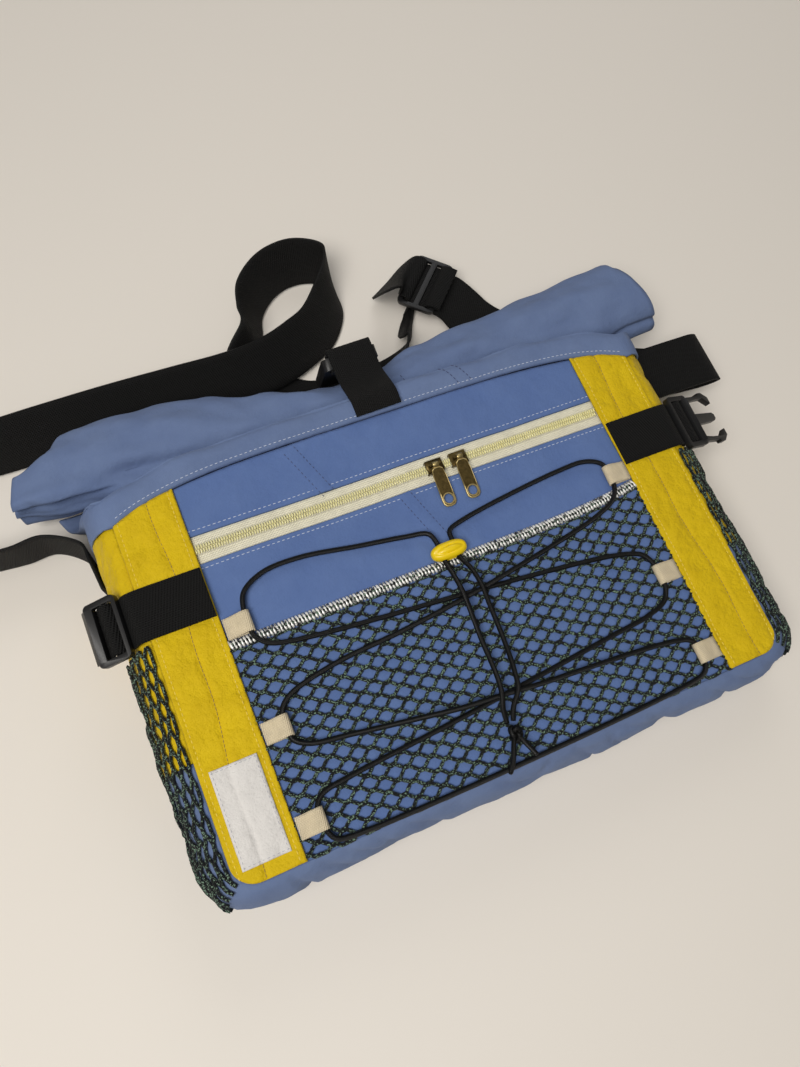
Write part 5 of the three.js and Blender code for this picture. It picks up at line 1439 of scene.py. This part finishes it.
for name, node, route in (
    ("closure_webbing", "closure_strap", closure_path),
    ("anchor_webbing", "closure_anchor", anchor_path),
):
    path = [(Vector((0, point.x, point.y)), Vector((1, 0, 0))) for point in finer(route, 3)]
    dress(ribbon_piece(name, path, tab_webbing_width, tab_webbing_thickness, webbing), node, slot="webbing")
cast("closure_buckle_moulded", "closure_buckle", black_plastic, 1.0, "black plastic")


# The shoulder strap: 40 mm webbing from the left of the mouth round behind the bag to the adjuster, and a
# short length from the adjuster to the right of the mouth. Both lie on the table, in part on their edge.
# Rows give one edge's place as shares of the body's width, the front's height and the webbing's width,
# and the way that its width points, as a turn and a lean.
shoulder_rows = [
    (-1.128, 0.739, 0.25, 100, 90), (-1.144, 0.937, 0.2, 40, 90), (-1.201, 1.117, 0.075, -30, 80),
    (-1.299, 1.234, 0.05, -60, 84), (-1.402, 1.234, 0.05, -80, 84), (-1.511, 1.252, 0.05, -100, 84),
    (-1.695, 1.288, 0.05, -110, 84), (-1.897, 1.351, 0.05, -140, 82), (-2.023, 1.55, 0.05, 180, 80),
    (-2.04, 1.757, 0.05, 170, 70), (-1.925, 1.91, 0.05, 110, 68), (-1.724, 1.928, 0.05, 90, 65),
    (-1.408, 1.874, 0.05, 90, 55), (-1.178, 1.865, 0.05, 92, 52), (-0.902, 1.856, 0.05, 92, 52),
    (-0.632, 1.829, 0.075, 92, 52), (-0.402, 1.802, 0.113, 92, 52), (-0.218, 1.82, 0.138, 105, 50),
    (-0.069, 1.901, 0.113, 115, 50), (0.052, 2.018, 0.05, 130, 52), (0.121, 2.144, 0.05, 130, 55),
    (0.155, 2.252, 0.05, 140, 62), (0.161, 2.378, 0.05, 135, 75), (0.144, 2.495, 0.05, 90, 78),
    (0.057, 2.572, 0.05, 95, 72), (-0.034, 2.577, 0.05, 100, 70), (-0.115, 2.523, 0.05, 115, 68),
    (-0.19, 2.405, 0.05, 140, 68), (-0.218, 2.279, 0.05, 165, 70), (-0.241, 2.162, 0.05, 180, 72),
    (-0.23, 2.072, 0.037, 195, 20), (-0.195, 1.946, 0.03, 205, 1), (-0.126, 1.829, 0.03, 235, 1),
    (0.029, 1.766, 0.03, 262, 1), (0.201, 1.775, 0.037, 262, 3), (0.316, 1.811, 0.05, 250, 35),
    (0.379, 1.865, 0.05, 238, 60), (0.42, 1.982, 0.062, 232, 40), (0.477, 2.126, 0.087, 227, 12),
    (0.546, 2.27, 0.1, 225, 3), (0.589, 2.34, 0.2, 225, 0), (0.589, 2.34, 0.325, 225, 0),
    (0.588, 2.341, 0.438, 225, 0), (0.578, 2.358, 0.495, 225, 0), (0.549, 2.392, 0.49, 228, 3),
    (0.483, 2.387, 0.35, 244, 28), (0.391, 2.324, 0.2, 260, 48), (0.305, 2.261, 0.125, 270, 58),
]
short_rows = [
    (0.53, 1.923, 0.485, 45, 0), (0.506, 1.961, 0.49, 45, 0), (0.487, 1.992, 0.463, 45, 0),
    (0.48, 2.003, 0.4, 45, 0), (0.487, 1.992, 0.335, 45, 0), (0.506, 1.961, 0.315, 45, 0),
    (0.534, 1.916, 0.275, 42, 0), (0.563, 1.829, 0.175, 37, 2), (0.598, 1.73, 0.087, 36, 2),
    (0.655, 1.631, 0.033, 38, 1), (0.816, 1.423, 0.03, 43, 1), (0.989, 1.189, 0.03, 48, 1),
    (1.149, 0.955, 0.05, 57, 2), (1.276, 0.811, 0.2, 70, 4), (1.391, 0.73, 0.5, 82, 3),
    (1.448, 0.703, 0.65, 88, 2), (1.477, 0.694, 0.75, 88, 1), (1.448, 0.694, 0.84, 88, 1),
    (1.368, 0.694, 0.88, 88, 1), (1.241, 0.694, 0.915, 88, 1), (1.129, 0.694, 0.935, 89, 1),
]
strap_width = 40.0


def strap_piece(name, rows, steps):
    places = [Vector((x * half_body, y * half_height, z * strap_width)) for x, y, z, _, _ in rows]
    ways = []
    for _, _, _, turn, lean in rows:
        a, b = radians(turn), radians(lean)
        ways.append(Vector((cos(a) * cos(b), sin(a) * cos(b), sin(b))))
    route = spaced_run(places, steps)
    last = len(ways) - 1
    path = []
    for k, place in enumerate(route):
        way = curve_through(ways, k / (last * steps)).normalized()
        path.append((place + way * strap_width / 2, way))
    return ribbon_piece(name, path, strap_width, 1.8, webbing)


dress(strap_piece("shoulder_webbing", shoulder_rows, 8), "shoulder_strap", slot="webbing")
dress(strap_piece("short_webbing", short_rows, 8), "short_strap", slot="webbing")
cast("adjuster_moulded", "strap_adjuster", black_plastic, 0.7, "black plastic")
bar_low, bar_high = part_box("strap_adjuster")
bar_middle = (Vector(bar_low) + Vector(bar_high)) * 500
across_bar = Vector((cos(radians(45)), sin(radians(45)), 0))
along_bar = Vector((-across_bar.y, across_bar.x, 0))
turned_back = []
for t in spread(-1, 1, 16):
    place = bar_middle + along_bar * 11 * t + Vector((0, 0, -1.6 + 0.5 * cos(t * pi)))
    turned_back.append((place, across_bar))
dress(ribbon_piece("turned_back_webbing", turned_back, strap_width, 1.2, webbing), slot="webbing")


# Stitches: white thread along the zip's edges and the band, pale yellow along the strips' hems, brown
# along their wavy middle line, dark blue along the felled seams and grey round the label.
def thread_material(name, colour):
    return toned(material(name, colour, 0.6, sheen=0.3), colour, darker(colour, 0.75), 500.0)


def stitches(name, runs, finish, length=2.3, thick=0.5, spacing=3.1, slot="blue cloth"):
    return dress(row_of_pieces(name, runs, finish, length, thick, thick * 0.8, spacing), slot=slot)


white_thread = thread_material("white_thread", linear(206, 214, 232))
navy_thread = thread_material("navy_thread", linear(46, 56, 96))
hem_thread = thread_material("hem_thread", linear(236, 208, 78))
brown_thread = thread_material("brown_thread", linear(142, 112, 46))
grey_thread = thread_material("grey_thread", linear(176, 176, 184))
from_zip = 3.6
zip_runs = [
    [front(x, y, 0.05) for x in spread(-half_open, half_open, 120)]
    for y in (zip_low - from_zip, zip_high + from_zip)
]
stitches("zip_edge_stitches", zip_runs, white_thread)
seam_runs = []
for seams in (lower_seams, upper_seams):
    for (x0, y0), (x1, y1) in seams:
        length = hypot(x1 - x0, y1 - y0)
        for off in (1.4, 9.1):
            run = []
            for t in spread(0.02, 0.97, 30):
                x = x0 + (x1 - x0) * t - (y1 - y0) / length * off
                y = y0 + (y1 - y0) * t + (x1 - x0) / length * off
                run.append(front(x, y, felled(x, y, seams) + 0.05))
            seam_runs.append(run)
stitches("felled_seam_stitches", seam_runs, navy_thread, length=2.0, thick=0.42, spacing=2.9)
hem_runs = []
middle_runs = []
for side in (-1, 1):
    for share in (0.09, 0.915):
        reach = half_open + clear + (half_body - half_open) * share
        foot = -half_height + 3 + 3 * (share > 0.5)
        hem_runs.append([strip_top(side * reach, y, 0.08) for y in spread(foot, seam_y(reach) - 2, 150)])
    middle_runs.append([
        strip_top(side * (half_open + strip_width * middle_line(y)), y, 0.14)
        for y in spread(-half_height + 2, seam_y(half_open + 18) - 2, 150)
    ])
stitches("strip_hem_stitches", hem_runs, hem_thread, length=2.4, thick=0.6, slot="yellow cloth")
stitches("strip_middle_stitches", middle_runs, brown_thread, length=2.4, spacing=2.5, slot="yellow cloth")
edge_u, edge_v = 12.0, 25.4
label_corners = [(-edge_u, -edge_v), (edge_u, -edge_v), (edge_u, edge_v), (-edge_u, edge_v)]
label_runs = []
for (u0, v0), (u1, v1) in zip(label_corners, label_corners[1:] + label_corners[:1]):
    label_runs.append([
        strip_top(label_x + u0 + (u1 - u0) * t, label_y + v0 + (v1 - v0) * t, 0.66) for t in spread(0, 1, 24)
    ])
stitches("label_stitches", label_runs, grey_thread, length=1.9, thick=0.36, spacing=2.7, slot="label cloth")
thread_lift = 0.12


def band_top(x, share):
    """A place on the mouth band's upper face, from its seam at 0 towards the roll at 1."""
    point = curve_through([band_front(x, row) for row in band_rows], share)
    return point + band_relief(point.x, share) + Vector((0, 0, thread_lift))


def roll_top(x, turn):
    """A place on the roll's outer turn."""
    y0, z0, deep, thick, slant = roll_at(x)
    angle = roll_start + turn * tau
    fold = roll_fold(x, angle) * end_ease((x / roll_half + 1.0) / roll_span)
    reach = fold - cloth_inset - turn * turn_shrink + thread_lift + 1.0
    y = y0 + (deep + reach) * cos(angle)
    return Vector((x - slant * cos(angle), y, z0 + (thick + reach) * sin(angle)))


band_run = [band_top(x, 0.05) for x in spread(-170, 170, 120)]
stitches("band_stitches", [band_run], white_thread, slot="pale blue cloth")
seam_runs = []
for off in (0.0, 9.0):
    seam_runs.append([band_top(48 + off + 8 * t, 0.42 - 0.35 * t) for t in spread(0, 1, 24)])
    seam_runs.append([roll_top(21 + off + 9 * t, 0.55 + 0.27 * t) for t in spread(0, 1, 24)])
stitches(
    "mouth_seam_stitches", seam_runs, navy_thread, length=2.5, thick=0.6, spacing=2.9,
    slot="pale blue cloth",
)
